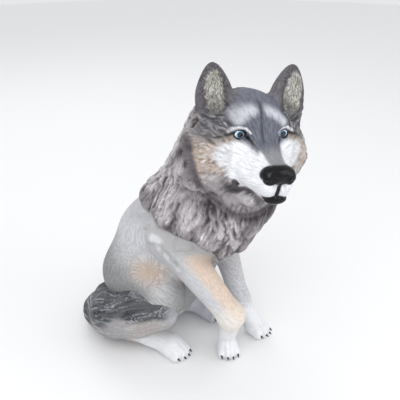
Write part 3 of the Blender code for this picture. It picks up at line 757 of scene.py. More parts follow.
def tuft_roots(clay, rng):
    """Roots of the ruff's tufts: staggered rings from the hanging edge up to the nape, outside the face."""
    places = []
    ways = []
    for ring in range(TUFT_RINGS):
        for step in range(TUFTS_IN_RING):
            angle = 2 * math.pi * (step + 0.5 * (ring % 2) + rng.uniform(-0.2, 0.2)) / TUFTS_IN_RING
            way = np.array((math.sin(angle), -math.cos(angle), 0.0))
            edge = ruff_edge(np.array([way]) + np.array((RUFF_AXIS.x, RUFF_AXIS.y, 0.0)))[0]
            height = edge + TUFT_START + (RUFF_TOP.z - edge) * (ring + rng.uniform(-0.15, 0.15)) / TUFT_RINGS
            rise = (height - RUFF_FOOT.z) / (RUFF_TOP.z - RUFF_FOOT.z)
            places.append(np.array(RUFF_FOOT.lerp(RUFF_TOP, rise)) + way * TUFT_REACH)
            ways.append(way)
    places = np.array(places)
    ways = np.array(ways)
    for _ in range(60):
        places -= ways * np.clip(clay.distance(places), -0.02, 0.02)[:, None]
    return places[head_depth(to_head(places)) < 0.002]


class Coat:
    """What is known at each point of the coat: its flow, relief, paint and finish."""

    def __init__(self, points, outward):
        count = len(points)
        self.points = points
        self.outward = outward
        self.height = np.zeros(count)
        self.relief = np.full(count, 0.5)
        self.tint = np.zeros(count)
        self.comb = np.zeros((count, 3))
        self.flow = np.zeros((count, 3))
        self.paint = np.zeros((count, 3))
        self.strokes = np.zeros(count)
        self.gloss = np.zeros(count)

    def lay(self, paint, mask):
        """Brushes a paint on where the mask is."""
        self.paint += (np.array(paint) - self.paint) * np.clip(mask, 0.0, 1.0)[:, None]

    def cut(self, apart, cut, mask=1.0):
        """Cuts a line, from each point's distance to it and the cut's depth and half width."""
        depth, half = cut
        self.height -= depth * mask * np.exp(-(apart / half) ** 2)

    def lay_locks(self, roots, outward, flow, size, rng, sway=0.3):
        """Lays overlapping pointed locks. Each point keeps the lock that stands highest there."""
        span, width, thickness = size
        grid = Grid(self.points, width)
        lift = np.zeros(len(self.points))
        for root, normal, comb in zip(roots, outward, flow):
            long = span * rng.uniform(0.75, 1.25)
            bulk = rng.uniform(0.75, 1.15)
            phase = rng.uniform(0, 6.3)
            tint = math.sin(phase * 7.0)
            near = grid.near(root + comb * long * 0.42, long * 0.62)
            offset = self.points[near] - root
            u = offset @ comb / long
            v = offset @ np.cross(normal, comb) - width * sway * (np.sin(4.2 * u + phase) - math.sin(phase))
            taper = np.sqrt(np.clip(1.0 - ((u - 0.2) / 0.8) ** 3, 0.0, 1.0))
            half = width * 0.56 * smooth_step(-0.25, 0.25, u) * taper
            round_top = np.sqrt(np.clip(1.0 - (v / np.maximum(half, 1e-5)) ** 2, 0.0, 1.0))
            rise = 0.25 + 0.75 * smooth_step(-0.1, 0.8, u)
            inside = (u > -0.2) & (u < 1.0) & (np.abs(offset @ normal) < long * 0.5)
            here = thickness * bulk * rise * round_top * inside
            better = here > lift[near]
            chosen = near[better]
            lift[chosen] = here[better]
            self.tint[chosen] = tint
            self.comb[chosen, 0] = v[better] + tint * 0.7
            self.comb[chosen, 1] = u[better] * long * 0.14
            self.comb[chosen, 2] = phase * 0.1
        return lift

    def locks(self, weight, size, rng, sway=0.4):
        """Locks rooted all over where the weight is, as high as it is there."""
        roots = scatter(self.points, weight, size[1] * 0.78, rng)
        lift = self.lay_locks(self.points[roots], self.outward[roots], self.flow[roots], size, rng, sway)
        lift *= smooth_step(0.0, 0.5, weight)
        self.height += lift
        self.relief = np.where(weight > 0.02, np.clip(lift / size[2], 0.0, 1.0), self.relief)

    def write(self, mesh):
        """Stores the paint, the comb and the finish on the mesh."""
        paint = mesh.attributes.new("paint", "FLOAT_COLOR", "POINT")
        paint.data.foreach_set("color", np.column_stack((self.paint, np.ones(len(self.paint)))).ravel())
        comb = mesh.attributes.new("comb", "FLOAT_VECTOR", "POINT")
        comb.data.foreach_set("vector", self.comb.ravel())
        finish = mesh.attributes.new("finish", "FLOAT_VECTOR", "POINT")
        finish.data.foreach_set("vector", np.column_stack((self.strokes, self.gloss, self.relief)).ravel())


def along_rod(points, start, end):
    """How far along a rod each point is, 0 to 1, and its distance from the rod's line."""
    start = np.array(start)
    axis = np.array(end) - start
    t = np.clip((points - start) @ axis / (axis @ axis), 0.0, 1.0)
    return t, np.linalg.norm(points - start - t[:, None] * axis, axis=1)


def along_path(points, path):
    """How far along a path each point is, 0 to 1, its distance from it, and the path's direction there."""
    nearest = np.full(len(points), 9.0)
    along = np.zeros(len(points))
    heading = np.zeros((len(points), len(path[0])))
    for i, (start, end) in enumerate(zip(path, path[1:])):
        t, apart = along_rod(points, start, end)
        nearer = apart < nearest
        nearest[nearer] = apart[nearer]
        along[nearer] = (i + t[nearer]) / (len(path) - 1)
        heading[nearer] = unit(np.array(end) - np.array(start))
    return along, nearest, heading


def dab(points, centre, size, soft=0.5):
    """1 inside an egg and 0 outside it, with a soft edge."""
    reach = np.linalg.norm((points - np.array(centre)) / np.array(size), axis=1)
    return smooth_step(1.0 + soft / 2, 1.0 - soft / 2, reach)


def stripe(points, path, half, soft):
    """1 on a line and 0 beside it, with a soft edge; half its width may change along it."""
    along, apart, _ = along_path(points, path)
    if not isinstance(half, float):
        half = half[0] + (half[1] - half[0]) * along
    return smooth_step(half + soft, half - soft, apart)


def stretched(points, heading, squeeze=0.14):
    """Coordinates that draw a noise out into strokes along the heading at each point."""
    along = np.sum(points * heading, axis=1, keepdims=True)
    return points - heading * along * (1.0 - squeeze)


def comb_coat(coat, local, depth, above):
    """Which way the fur lies, and the strokes on the smooth parts."""
    points = coat.points
    on_head = smooth_step(-0.006, 0.006, depth)
    on_ruff = smooth_step(-0.03, 0.02, above)
    mix = np.maximum(on_head, on_ruff)[:, None]
    body = flat_to_skin(np.array(BODY_PULL), coat.outward)
    flow = unit(body * (1.0 - mix) + coat_flow(points, coat.outward) * mix)
    bend = 0.34 * np.sin(points[:, 0] * 61 + points[:, 2] * 33)
    bend += 0.26 * np.sin(points[:, 1] * 74 - points[:, 2] * 47)
    bend *= np.maximum(on_ruff * (1 - on_head), 0.35)
    side = np.cross(coat.outward, flow)
    coat.flow = flow * np.cos(bend)[:, None] + side * np.sin(bend)[:, None]
    waves = 0.004 * np.sin(points[:, 2] * 90 + points[:, 1] * 40)
    coat.comb = stretched(points + waves[:, None], np.array((0.0, 0.35, -0.94)))
    patch = points - np.array(HAUNCH_PATCH)
    apart = np.linalg.norm(patch, axis=1)
    turned = np.arctan2(patch[:, 2], patch[:, 1])
    radiating = np.column_stack((turned * 0.035, apart * 0.16, np.zeros(len(apart))))
    around = (apart > HAUNCH_WHORL[0]) & (apart < HAUNCH_WHORL[1])
    coat.comb[around] = radiating[around]
    legs = (points[:, 1] < 0.02) & (above < -0.01)
    coat.comb[legs] = stretched(points[legs], np.array((0.25, -0.80, -0.55)))
    low = points[:, 2] < 0.055
    coat.comb[low] = stretched(points[low], np.array((0.0, -0.99, -0.10)))
    face = depth > 0
    spread = np.arctan2(local[:, 0], local[:, 2] + 0.045) * 0.06
    reach = np.linalg.norm(local - np.array(PARTING), axis=1)
    coat.comb[face] = np.column_stack((spread, reach * 0.16, np.zeros(len(spread))))[face]


def carve_coat(coat, clay, sizes, local, depth, above):
    """Lifts the fur locks, the ruff's overhang and the groove under the cheeks."""
    rng = random.Random(COAT_SEED)
    side, front, top = np.abs(local[:, 0]), local[:, 1], local[:, 2]
    on_face = smooth_step(-0.002, 0.004, depth)
    not_ear = 1.0 - ear_masks(coat.points)[0]
    in_ruff = smooth_step(-0.004, 0.006, above) * (1.0 - on_face) * smooth_step(0.030, 0.010, top)
    cheek = on_face * smooth_step(0.052, 0.068, side) * smooth_step(0.02, -0.01, top)
    chin = on_face * smooth_step(-0.090, -0.100, top) * smooth_step(0.05, 0.03, front)
    crown = (1.0 - on_face) * smooth_step(0.010, 0.030, top) * not_ear
    temple = on_face * smooth_step(0.050, 0.062, side) * smooth_step(-0.015, 0.005, top) * not_ear
    face_fur = np.maximum.reduce((cheek, chin, crown, temple))
    under_cheek = smooth_step(0.0, -0.03, top) * smooth_step(-0.085, -0.060, front)
    groove = np.exp(-((depth + 0.0055) / 0.0055) ** 2) * under_cheek
    coat.height += sizes.ruff_lift * in_ruff - sizes.cheek_groove * groove
    roots = tuft_roots(clay, rng)
    facing = clay.outward(roots)
    tufts = coat.lay_locks(roots, facing, coat_flow(roots, facing),
                           (sizes.tuft_length, sizes.tuft_width, sizes.tuft_height), rng)
    coat.height += tufts
    coat.locks(in_ruff, (sizes.lock_length, sizes.lock_width, sizes.lock_height), rng)
    coat.locks(face_fur, (sizes.cheek_length, sizes.cheek_width, sizes.cheek_height), rng)
    feather = stripe(coat.points, FEATHER_LINE, 0.0085, 0.0025) * smooth_step(0.0, -0.010, above)
    coat.locks(feather, FEATHER_LOCKS, rng, 0.2)
    shade = 0.48 + 0.52 * np.minimum(tufts / sizes.tuft_height, 1.0)
    coat.relief *= 1.0 - in_ruff * (1.0 - shade)
    coat.relief = np.maximum(coat.relief, 0.40 * smooth_step(0.1, 0.5, groove))
    return in_ruff, face_fur, feather, groove


def carve_face(coat, local):
    """The lip line and the cleft under the nose; the lips' place along and beside the line comes back."""
    mirrored = np.column_stack((np.abs(local[:, 0]), local[:, 1:]))
    along, apart, _ = along_path(mirrored, LIP_LINE)
    coat.cut(apart, LIP_CUT)
    coat.cut(along_rod(mirrored, *PHILTRUM)[1], NOSE_CUT)
    return along, apart


def carve_toes(coat, paws):
    """Clefts between the toes of each paw."""
    for centre, turn, scale in paws:
        own = (coat.points - np.array(centre)) @ np.array(turn) / scale
        near = smooth_step(0.045, 0.035, np.linalg.norm(own, axis=1))
        near *= smooth_step(-0.006, -0.016, own[:, 1])
        for cleft in (-1, 0, 1):
            coat.cut(own[:, 0] - cleft * TOE_PITCH, TOE_CUT, near)


def ear_masks(points):
    """Where the ears are, and each point's place in its ear: outward, front and up from the ear's foot."""
    ear = np.zeros(len(points))
    place = np.full((len(points), 3), 9.0)
    for side in (-1, 1):
        root, lean = ear_lean(side)
        own = (points - np.array(root)) @ np.array(lean)
        here = dab(own, (0, 0, 0.036), (0.044, 0.034, 0.056), 0.2)
        nearer = here > ear
        place[nearer] = own[nearer] * (side, 1, 1)
        ear = np.maximum(ear, here)
    return ear, place


def paint_body(coat, paints, above, feather):
    """Airbrushed back, sides, haunch, legs and paws, with painted shade under the belly and between the
    legs.
    """
    points = coat.points
    x, y, z = points.T
    coat.lay(paints.grey, np.ones(len(points)))
    for name, centre, size, soft, strength in BODY_CLOUDS:
        coat.lay(getattr(paints, name), dab(points, centre, size, soft) * strength)
    coat.lay(paints.dusk, smooth_step(0.215, 0.120, z) * smooth_step(0.06, 0.14, y) * 0.6)
    # Painted shade under the belly, between the legs
    between = smooth_step(-0.09, -0.03, x) * smooth_step(0.10, -0.02, y) * smooth_step(0.26, 0.20, z)
    coat.lay(paints.dusk, between * 0.7)
    patch = dab(points, HAUNCH_PATCH, (0.034, 0.036, 0.021), 1.5)
    coat.lay(paints.tan, patch * 0.9)
    coat.lay(paints.tan, dab(points, (-0.135, 0.060, 0.045), (0.080, 0.060, 0.040), 0.8) * 0.4)
    coat.strokes = 0.42 + 0.18 * patch - 0.32 * smooth_step(0.11, 0.05, z)
    paint_legs(coat, paints, above)
    coat.lay(paints.white, smooth_step(0.105, 0.065, z) * smooth_step(0.0, -0.03, y))
    foot = smooth_step(0.066, 0.046, z)
    coat.lay(paints.white, foot * smooth_step(0.085, 0.050, y) * smooth_step(0.0, -0.04, x))
    left = smooth_step(-0.01, 0.02, x) * smooth_step(-0.02, 0.0, y)
    coat.lay(paints.pale, foot * smooth_step(0.130, 0.090, y) * left)
    coat.lay(paints.dusk, feather * smooth_step(0.45, 0.10, coat.relief) * 0.6)
    coat.lay(paints.pale, feather * smooth_step(0.30, 0.65, coat.relief) * 0.85)
    coat.lay(paints.white, dab(points, ELBOW_TUFT, (0.015, 0.015, 0.010), 0.4) * 0.8)


def paint_legs(coat, paints, above):
    """Lilac grey at the top of each foreleg, an orange sand stripe down its outer side, and cream wrists."""
    points = coat.points
    z = points[:, 2]
    _, shin, _ = along_path(points, FORELEG_RIGHT)
    on_leg = smooth_step(0.052, 0.044, shin) * smooth_step(-0.002, -0.02, above)
    coat.lay(paints.grey, on_leg)
    outer = smooth_step(-0.05, 0.55, coat.outward @ np.array((0.46, -0.59, 0.66)))
    coat.lay(paints.pale, on_leg * smooth_step(0.30, 0.16, z) * 0.6)
    coat.lay(paints.sand, on_leg * outer * smooth_step(0.31, 0.25, z) * 0.75)
    coat.lay(paints.cream, on_leg * smooth_step(0.180, 0.12, z) * 0.85)
    behind = smooth_step(0.1, 0.8, coat.outward[:, 1])
    coat.lay(paints.pale, on_leg * behind * smooth_step(0.20, 0.10, z) * 0.7)
    coat.strokes = coat.strokes * (1 - 0.4 * on_leg)
    _, shin, _ = along_path(points, FORELEG_LEFT)
    on_leg = smooth_step(0.045, 0.036, shin) * smooth_step(-0.002, -0.02, above)
    coat.lay(paints.grey, on_leg * 0.9)
    coat.lay(paints.pale, on_leg * smooth_step(0.24, 0.12, z) * 0.6)
    coat.lay(paints.sand, on_leg * smooth_step(0.2, 0.7, coat.outward[:, 0]) * 0.5)


def brush_fur(coat, paints, mask, base, ridge):
    """Dry-brushed fur: dark in the grooves, the base on the locks, and light on their crests."""
    tone = np.clip(coat.relief + coat.tint * 0.10, 0.0, 1.0)
    coat.lay(base, mask)
    coat.lay(paints.shadow, mask * smooth_step(0.62, 0.15, tone))
    coat.lay(ridge, mask * smooth_step(0.52, 0.95, tone) * 0.85)


def paint_ruff(coat, paints, above, in_ruff):
    """Brown-grey ruff, frosted crests, painted shade along its hanging edge and low on its front left."""
    brush_fur(coat, paints, in_ruff, paints.ruff, paints.frost)
    # Painted shade: low on the front left, the side in the head's shadow, and along the hanging edge over
    # the body
    shaded_front_left = smooth_step(0.15, 0.75, coat.outward @ np.array((0.62, -0.79, 0.0)))
    coat.lay(paints.shadow, in_ruff * smooth_step(0.030, 0.0, above) * 0.50)
    coat.lay(paints.shadow, in_ruff * shaded_front_left * smooth_step(0.48, 0.40, coat.points[:, 2]) * 0.45)
    coat.strokes = coat.strokes * (1 - in_ruff) + 0.95 * in_ruff


def paint_head(coat, paints, local, depth, face_fur, lips):
    """Slate forehead and bridge, white face with painted shade, tan cheeks, pale brows, black nose and lips.
    """
    mirrored = np.column_stack((np.abs(local[:, 0]), local[:, 1:]))
    side, front, top = mirrored.T
    flat = mirrored[:, [0, 2]]
    ahead = smooth_step(-0.075, -0.050, front)
    on_head = np.maximum(smooth_step(-0.004, 0.004, depth), smooth_step(0.005, 0.025, top))
    coat.lay(paints.umber, on_head)
    coat.strokes = coat.strokes * (1 - on_head) + 0.9 * on_head
    forehead = dab(flat, (0, 0.030), (0.054, 0.060), 0.5) * on_head
    coat.lay(paints.slate, forehead)
    coat.strokes *= 1 - 0.5 * forehead
    cheeks = dab(flat, (0.098, -0.056), (0.034, 0.036), 0.6) * on_head
    coat.lay(paints.tan, cheeks * 0.85)
    coat.lay(paints.tan, stripe(flat, CHEEK_SWEEP, 0.010, 0.008) * on_head * 0.7)
    white = dab(flat, (0.052, -0.036), (0.033, 0.026), 0.45)
    white = np.maximum(white, dab(flat, (0.032, -0.062), (0.034, 0.026), 0.40))
    muzzle = smooth_step(0.030, 0.045, front) * smooth_step(-0.100, -0.090, top)
    white = np.maximum(white, muzzle) * ahead * on_head
    coat.lay(paints.white, white)
    # Painted shade: grey in the crease under each eye and low on the white face
    under_eye_shade = stripe(flat, UNDER_EYE, 0.0012, 0.0030)
    coat.lay(paints.pale, white * np.maximum(under_eye_shade, smooth_step(-0.055, -0.080, top) * 0.5) * 0.6)
    coat.strokes *= 1 - 0.55 * white
    paint_jaw(coat, paints, flat, on_head)
    half = np.interp(front, BRIDGE_FRONT, BRIDGE_HALF)
    half += 0.0012 * np.sin(front * 900) * smooth_step(0.045, 0.030, front)
    bridge = smooth_step(half + 0.0040, half - 0.0020, side) * smooth_step(-0.070, -0.045, top)
    bridge *= smooth_step(-0.015, 0.005, front)
    coat.lay(paints.slate, bridge)
    coat.lay(paints.grey, bridge * smooth_step(0.028, 0.055, front) * 0.38)
    coat.strokes = coat.strokes * (1 - bridge) + 0.75 * bridge
    paint_brows(coat, paints, local, flat, ahead)
    fur = on_head * face_fur
    coat.lay(paints.shadow, fur * smooth_step(0.50, 0.10, coat.relief) * 0.6 * (1 - 0.6 * white))
    coat.lay(paints.char, fur * smooth_step(-0.01, 0.01, top) * smooth_step(0.2, 0.8, coat.tint) * 0.7)
    coat.lay(paints.grey, fur * (1 - cheeks) * (1 - white) * smooth_step(0.65, 1.0, coat.relief) * 0.45)
    coat.lay(paints.white, fur * cheeks * smooth_step(0.60, 1.0, coat.relief) * 0.5)
    paint_mouth(coat, paints, mirrored, lips)
    paint_ears(coat, paints)


def paint_jaw(coat, paints, flat, on_head):
    """Grey under the upper lip, painted shade below the corners of the mouth, lighter to the chin's tuft."""
    edge = np.interp(flat[:, 0], JAW_EDGE_SIDE, JAW_EDGE_TOP)
    below = smooth_step(0.002, -0.004, flat[:, 1] - edge) * on_head * smooth_step(0.105, 0.080, flat[:, 0])
    coat.lay(paints.ruff, below * 0.85)
    coat.lay(paints.umber, dab(flat, (0.006, -0.118), (0.022, 0.022), 0.9) * on_head * 0.75)
    # Painted shade in the pocket below each corner of the mouth
    coat.lay(paints.shadow, dab(flat, (0.043, -0.0925), (0.019, 0.0115), 0.9) * below * 0.85)
    coat.lay(paints.frost, dab(flat, (0.026, -0.122), (0.018, 0.019), 0.7) * on_head * 0.6)
    coat.lay(paints.char, stripe(flat, JAW_SHADE, 0.004, 0.006) * on_head * 0.7)
    coat.strokes = coat.strokes * (1 - below) + 0.8 * below


def paint_brows(coat, paints, local, flat, ahead):
    """Pale brow patches, a painted highlight arcing over each eye, and the black lines round the eyes."""
    across = np.abs(local[:, 0] + 0.007 * smooth_step(-0.03, 0.02, local[:, 2]))
    skewed = np.column_stack((across, local[:, 2]))
    brow = stripe(skewed, BROW_LINE, 0.0065, 0.0060)
    coat.lay(paints.pale, brow * ahead * 0.78)
    coat.strokes *= 1 - 0.45 * brow * ahead
    coat.lay(paints.char, stripe(local[:, [0, 2]], FOREHEAD_LINE, 0.0022, 0.0024) * ahead * 0.75)
    # White arc along each upper lid: a painted highlight
    coat.lay(paints.white, stripe(flat, LID_HIGHLIGHT, 0.0022, 0.0014) * ahead)
    turn = np.array(((math.cos(EYE_TILT), -math.sin(EYE_TILT)), (math.sin(EYE_TILT), math.cos(EYE_TILT))))
    eye = (flat - np.array((EYE_CENTRE[0], EYE_CENTRE[2]))) @ turn
    lids = smooth_step(1.10, 0.94, np.hypot(eye[:, 0] / 0.0122, (eye[:, 1] - 0.0004) / 0.0084)) * ahead
    outer = stripe(flat, EYE_TAIL, (0.0030, 0.0010), 0.0014)
    inner = stripe(flat, EYE_INNER, (0.0030, 0.0012), 0.0014)
    coat.lay(paints.char, stripe(flat, EYE_CREASE, 0.0024, 0.004) * ahead * 0.5)
    line = np.maximum.reduce((lids, outer * ahead * 0.95, inner * ahead))
    coat.lay(paints.black, line)
    coat.strokes *= 1 - line


def paint_mouth(coat, paints, mirrored, lips):
    """Black nose pad, cleft and lips, with the mouth's corners partly painted shade of their pockets."""
    along, apart = lips
    front = mirrored[:, 1]
    nose = np.maximum(dab(mirrored, NOSE_PAD[0], (0.0340, 0.0195, 0.0176), 0.08),
                      dab(mirrored, NOSE_WING[0], (0.0140, 0.0110, 0.0124), 0.12))
    cleft_line = stripe(mirrored[:, [0, 2]], NOSE_CLEFT, 0.0040, 0.0012)
    cleft_line *= smooth_step(0.060, 0.068, front)
    seam = smooth_step(0.0040, 0.0016, apart)
    lip = smooth_step(0.0054, 0.0034, apart) * smooth_step(0.30, 0.60, along)
    lower = dab(mirrored, (0, 0.072, -0.0890), (0.0265, 0.0180, 0.0105), 0.2)
    # The mouth's corner: black of the lips, and painted shade of the deep pocket there
    corner = dab(mirrored, (0.048, 0.010, -0.0790), (0.0075, 0.0150, 0.0065), 0.5)
    black = np.maximum.reduce((nose, cleft_line, seam, lip, lower, corner * 0.9))
    coat.lay(paints.black, black)
    coat.gloss = np.maximum.reduce((nose, cleft_line, lip, lower))
    coat.strokes *= 1 - black


def paint_ears(coat, paints):
    """Umber ears with speckled dark rims round an olive hollow, and dark tufts at the foot."""
    ear, place = ear_masks(coat.points)
    outward, ahead, up = place.T
    coat.lay(paints.umber, ear)
    facing = ear * smooth_step(-0.004, 0.004, ahead)
    uneven = np.sin(up * 410 + outward * 130) + np.sin(up * 770 - outward * 520 + 1.0)
    speckle = smooth_step(-0.2, 0.9, np.sin(up * 1100 + outward * 500) + np.sin(outward * 1300 - up * 640))
    middle = np.hypot((outward - 0.004) / 0.0170, (up - 0.024) / 0.038) + 0.07 * uneven
    coat.lay(paints.shadow, facing * smooth_step(1.75, 1.25, middle) * (0.30 + 0.60 * speckle))
    inside = facing * smooth_step(1.15, 0.85, middle)
    coat.lay(paints.olive, inside)
    strokes = 0.5 + 0.5 * np.sin(outward * 1500 + up * 460 + 1.2 * uneven)
    coat.lay(paints.pale, inside * smooth_step(0.5, 0.9, strokes) * 0.55)
    coat.lay(paints.moss, inside * smooth_step(0.45, 0.1, strokes) * 0.7)
    foot = inside * smooth_step(0.018, 0.000, up + outward * 0.4)
    coat.lay(paints.char, foot * smooth_step(0.35, 0.75, strokes) * 0.8)
    coat.strokes = coat.strokes * (1 - ear) + 0.8 * ear


def paint_tail(coat, paints, along, weight):
    """Long charcoal and white strands over dark grey, a greenish rear bend, a pale tip, and painted
    highlight on top.
    """
    up = coat.outward[:, 2]
    coat.lay(paints.dusk, np.ones(len(along)))
    coat.lay(paints.char, smooth_step(-0.45, 0.10, up) * smooth_step(0.30, 0.50, along) * 0.72)
    coat.lay(paints.moss, smooth_step(0.62, 0.35, along) * 0.9)
    tip = np.array(TAIL_POINTS[-1])
    ahead = (coat.points - tip) @ unit(tip - np.array(TAIL_POINTS[-2]))
    edge = np.interp(along, (0.35, 0.55, 0.80), (-0.60, -0.10, 0.20))
    low = smooth_step(edge + 0.14, edge - 0.14, up)
    # Crest: a painted highlight along the upward-facing top, and the pale tip
    crest = np.maximum(smooth_step(0.93, 1.0, up) * 0.35, smooth_step(0.020, 0.034, ahead))
    coat.lay(paints.char, smooth_step(0.0, 0.6, coat.tint) * weight * 0.85)
    coat.lay(paints.ruff, low * 0.55)
    coat.lay(paints.grey, low * smooth_step(0.50, 0.75, along) * 0.65)
    coat.lay(paints.tan, low * smooth_step(0.72, 0.88, along) * smooth_step(0.03, 0.0, ahead) * 0.3)
    coat.lay(paints.pale, crest * smooth_step(0.35, 0.55, along) * 0.6)
    strands = smooth_step(-0.80, -0.98, coat.tint) * weight
    coat.lay(paints.pale, strands * smooth_step(0.20, 0.40, along) * 0.60)
    coat.lay(paints.shadow, smooth_step(0.50, 0.10, coat.relief) * weight * 0.7)
    coat.lay(paints.pale, smooth_step(0.80, 1.0, coat.relief) * weight * 0.10)
    coat.strokes[:] = 0.85


def new_piece(name, mesh, *materials):
    piece = bpy.data.objects.new(name, mesh)
    bpy.context.scene.collection.objects.link(piece)
    for material in materials:
        mesh.materials.append(material)
    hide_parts("wolf")
    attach(piece, "root")
    return piece


def painted(name, dress, *paints, roughness, specular=0.5):
    """The material of that name; the first time, it is made and dressed with its nodes."""
    material = bpy.data.materials.get(name)
    if material:
        return material
    material = bpy.data.materials.new(name)
    material.use_nodes = True
    surface = material.node_tree.nodes["Principled BSDF"]
    surface.inputs["Roughness"].default_value = roughness
    surface.inputs["Specular IOR Level"].default_value = specular
    dress(surface, *paints)
    return material


def attribute_node(tree, name):
    node = tree.nodes.new("ShaderNodeAttribute")
    node.attribute_name = name
    return node


def math_node(tree, operation, first, second):
    """A Math node; each input is a socket or a number."""
    node = tree.nodes.new("ShaderNodeMath")
    node.operation = operation
    for socket, value in zip(node.inputs, (first, second)):
        if isinstance(value, (int, float)):
            socket.default_value = value
        else:
            tree.links.new(value, socket)
    return node.outputs[0]


def noise_node(tree, vector, scale, detail=2.0):
    node = tree.nodes.new("ShaderNodeTexNoise")
    node.inputs["Scale"].default_value = scale
    node.inputs["Detail"].default_value = detail
    tree.links.new(vector, node.inputs["Vector"])
    return node.outputs["Fac"]


def grain_node(tree, scale):
    """Fine grain that stays with the piece."""
    return noise_node(tree, tree.nodes.new("ShaderNodeTexCoord").outputs["Object"], scale)


def add_bump(tree, surface, height, distance, strength):
    bump = tree.nodes.new("ShaderNodeBump")
    bump.inputs["Distance"].default_value = distance
    bump.inputs["Strength"].default_value = strength
    tree.links.new(height, bump.inputs["Height"])
    tree.links.new(bump.outputs[0], surface.inputs["Normal"])


def hair_ridges(tree, comb):
    """Crests of fine brushed hairs along the comb, 0 between them and 1 on them."""
    broad = math_node(tree, "MULTIPLY", noise_node(tree, comb, 320.0), 0.6)
    fine = math_node(tree, "MULTIPLY", noise_node(tree, comb, 900.0, 1.0), 0.4)
    hair = math_node(tree, "ADD", broad, fine)
    crest = tree.nodes.new("ShaderNodeMapRange")
    crest.interpolation_type = "SMOOTHSTEP"
    crest.inputs["From Min"].default_value = 0.38
    crest.inputs["From Max"].default_value = 0.58
    tree.links.new(hair, crest.inputs["Value"])
    return crest.outputs["Result"]


def dress_coat(surface):
    """Matt paint with fine brush strokes along the fur."""
    tree = surface.id_data
    paint = attribute_node(tree, "paint").outputs["Color"]
    comb = attribute_node(tree, "comb").outputs["Vector"]
    finish = tree.nodes.new("ShaderNodeSeparateXYZ")
    tree.links.new(attribute_node(tree, "finish").outputs["Vector"], finish.inputs[0])
    strokes = finish.outputs["X"]
    ridge = hair_ridges(tree, comb)
    swing = math_node(tree, "SUBTRACT", math_node(tree, "MULTIPLY", ridge, 0.75), 0.50)
    tone = math_node(tree, "ADD", math_node(tree, "MULTIPLY", swing, strokes), 1.0)
    shade = tree.nodes.new("ShaderNodeVectorMath")
    shade.operation = "SCALE"
    tree.links.new(paint, shade.inputs[0])
    tree.links.new(tone, shade.inputs["Scale"])
    tree.links.new(shade.outputs[0], surface.inputs["Base Color"])
    add_bump(tree, surface, math_node(tree, "MULTIPLY", ridge, strokes), 0.0008, 0.6)


def dress_nose(surface):
    """Black satin paint of the nose and lips."""
    tree = surface.id_data
    tree.links.new(attribute_node(tree, "paint").outputs["Color"], surface.inputs["Base Color"])
    add_bump(tree, surface, grain_node(tree, 900.0), 0.0003, 0.3)


def dress_eye(surface, paints):
    """Pupil, blue iris and pale rim by the angle from the gaze, under clear gloss."""
    tree = surface.id_data
    ramp = tree.nodes.new("ShaderNodeValToRGB")
    stops = ((0.0, paints.black), (0.39, paints.black), (0.44, paints.iris), (0.54, paints.sky),
             (0.66, paints.eye_white), (0.92, paints.eye_white), (1.0, paints.char))
    marks = ramp.color_ramp.elements
    while len(marks) < len(stops):
        marks.new(0.5)
    for mark, (place, paint) in zip(marks, stops):
        mark.position = place
        mark.color = (*paint, 1.0)
    tree.links.new(attribute_node(tree, "gaze").outputs["Fac"], ramp.inputs[0])
    tree.links.new(ramp.outputs[0], surface.inputs["Base Color"])
    surface.inputs["Coat Weight"].default_value = 0.6
    surface.inputs["Coat Roughness"].default_value = 0.03


def dress_claw(surface, paints):
    """Black clouded with charcoal."""
    tree = surface.id_data
    shade = tree.nodes.new("ShaderNodeMix")
    shade.data_type = "RGBA"
    tree.links.new(grain_node(tree, 260.0), shade.inputs["Factor"])
    shade.inputs["A"].default_value = (*paints.black, 1.0)
    shade.inputs["B"].default_value = (*paints.char, 1.0)
    tree.links.new(shade.outputs["Result"], surface.inputs["Base Color"])


def dress_floor(surface, paints):
    surface.inputs["Base Color"].default_value = (*paints.floor, 1.0)


def coat_material():
    return painted("painted_coat", dress_coat, roughness=0.55, specular=0.35)


def set_gloss(mesh, gloss):
    """Gives the second material to the faces that are glossy at all their corners."""
    corners = np.empty(len(mesh.loops), dtype=np.int64)
    mesh.loops.foreach_get("vertex_index", corners)
    starts = np.empty(len(mesh.polygons), dtype=np.int64)
    mesh.polygons.foreach_get("loop_start", starts)
    glossy = np.minimum.reduceat(gloss[corners], starts) > 0.5
    mesh.polygons.foreach_set("material_index", glossy.astype(np.int32))


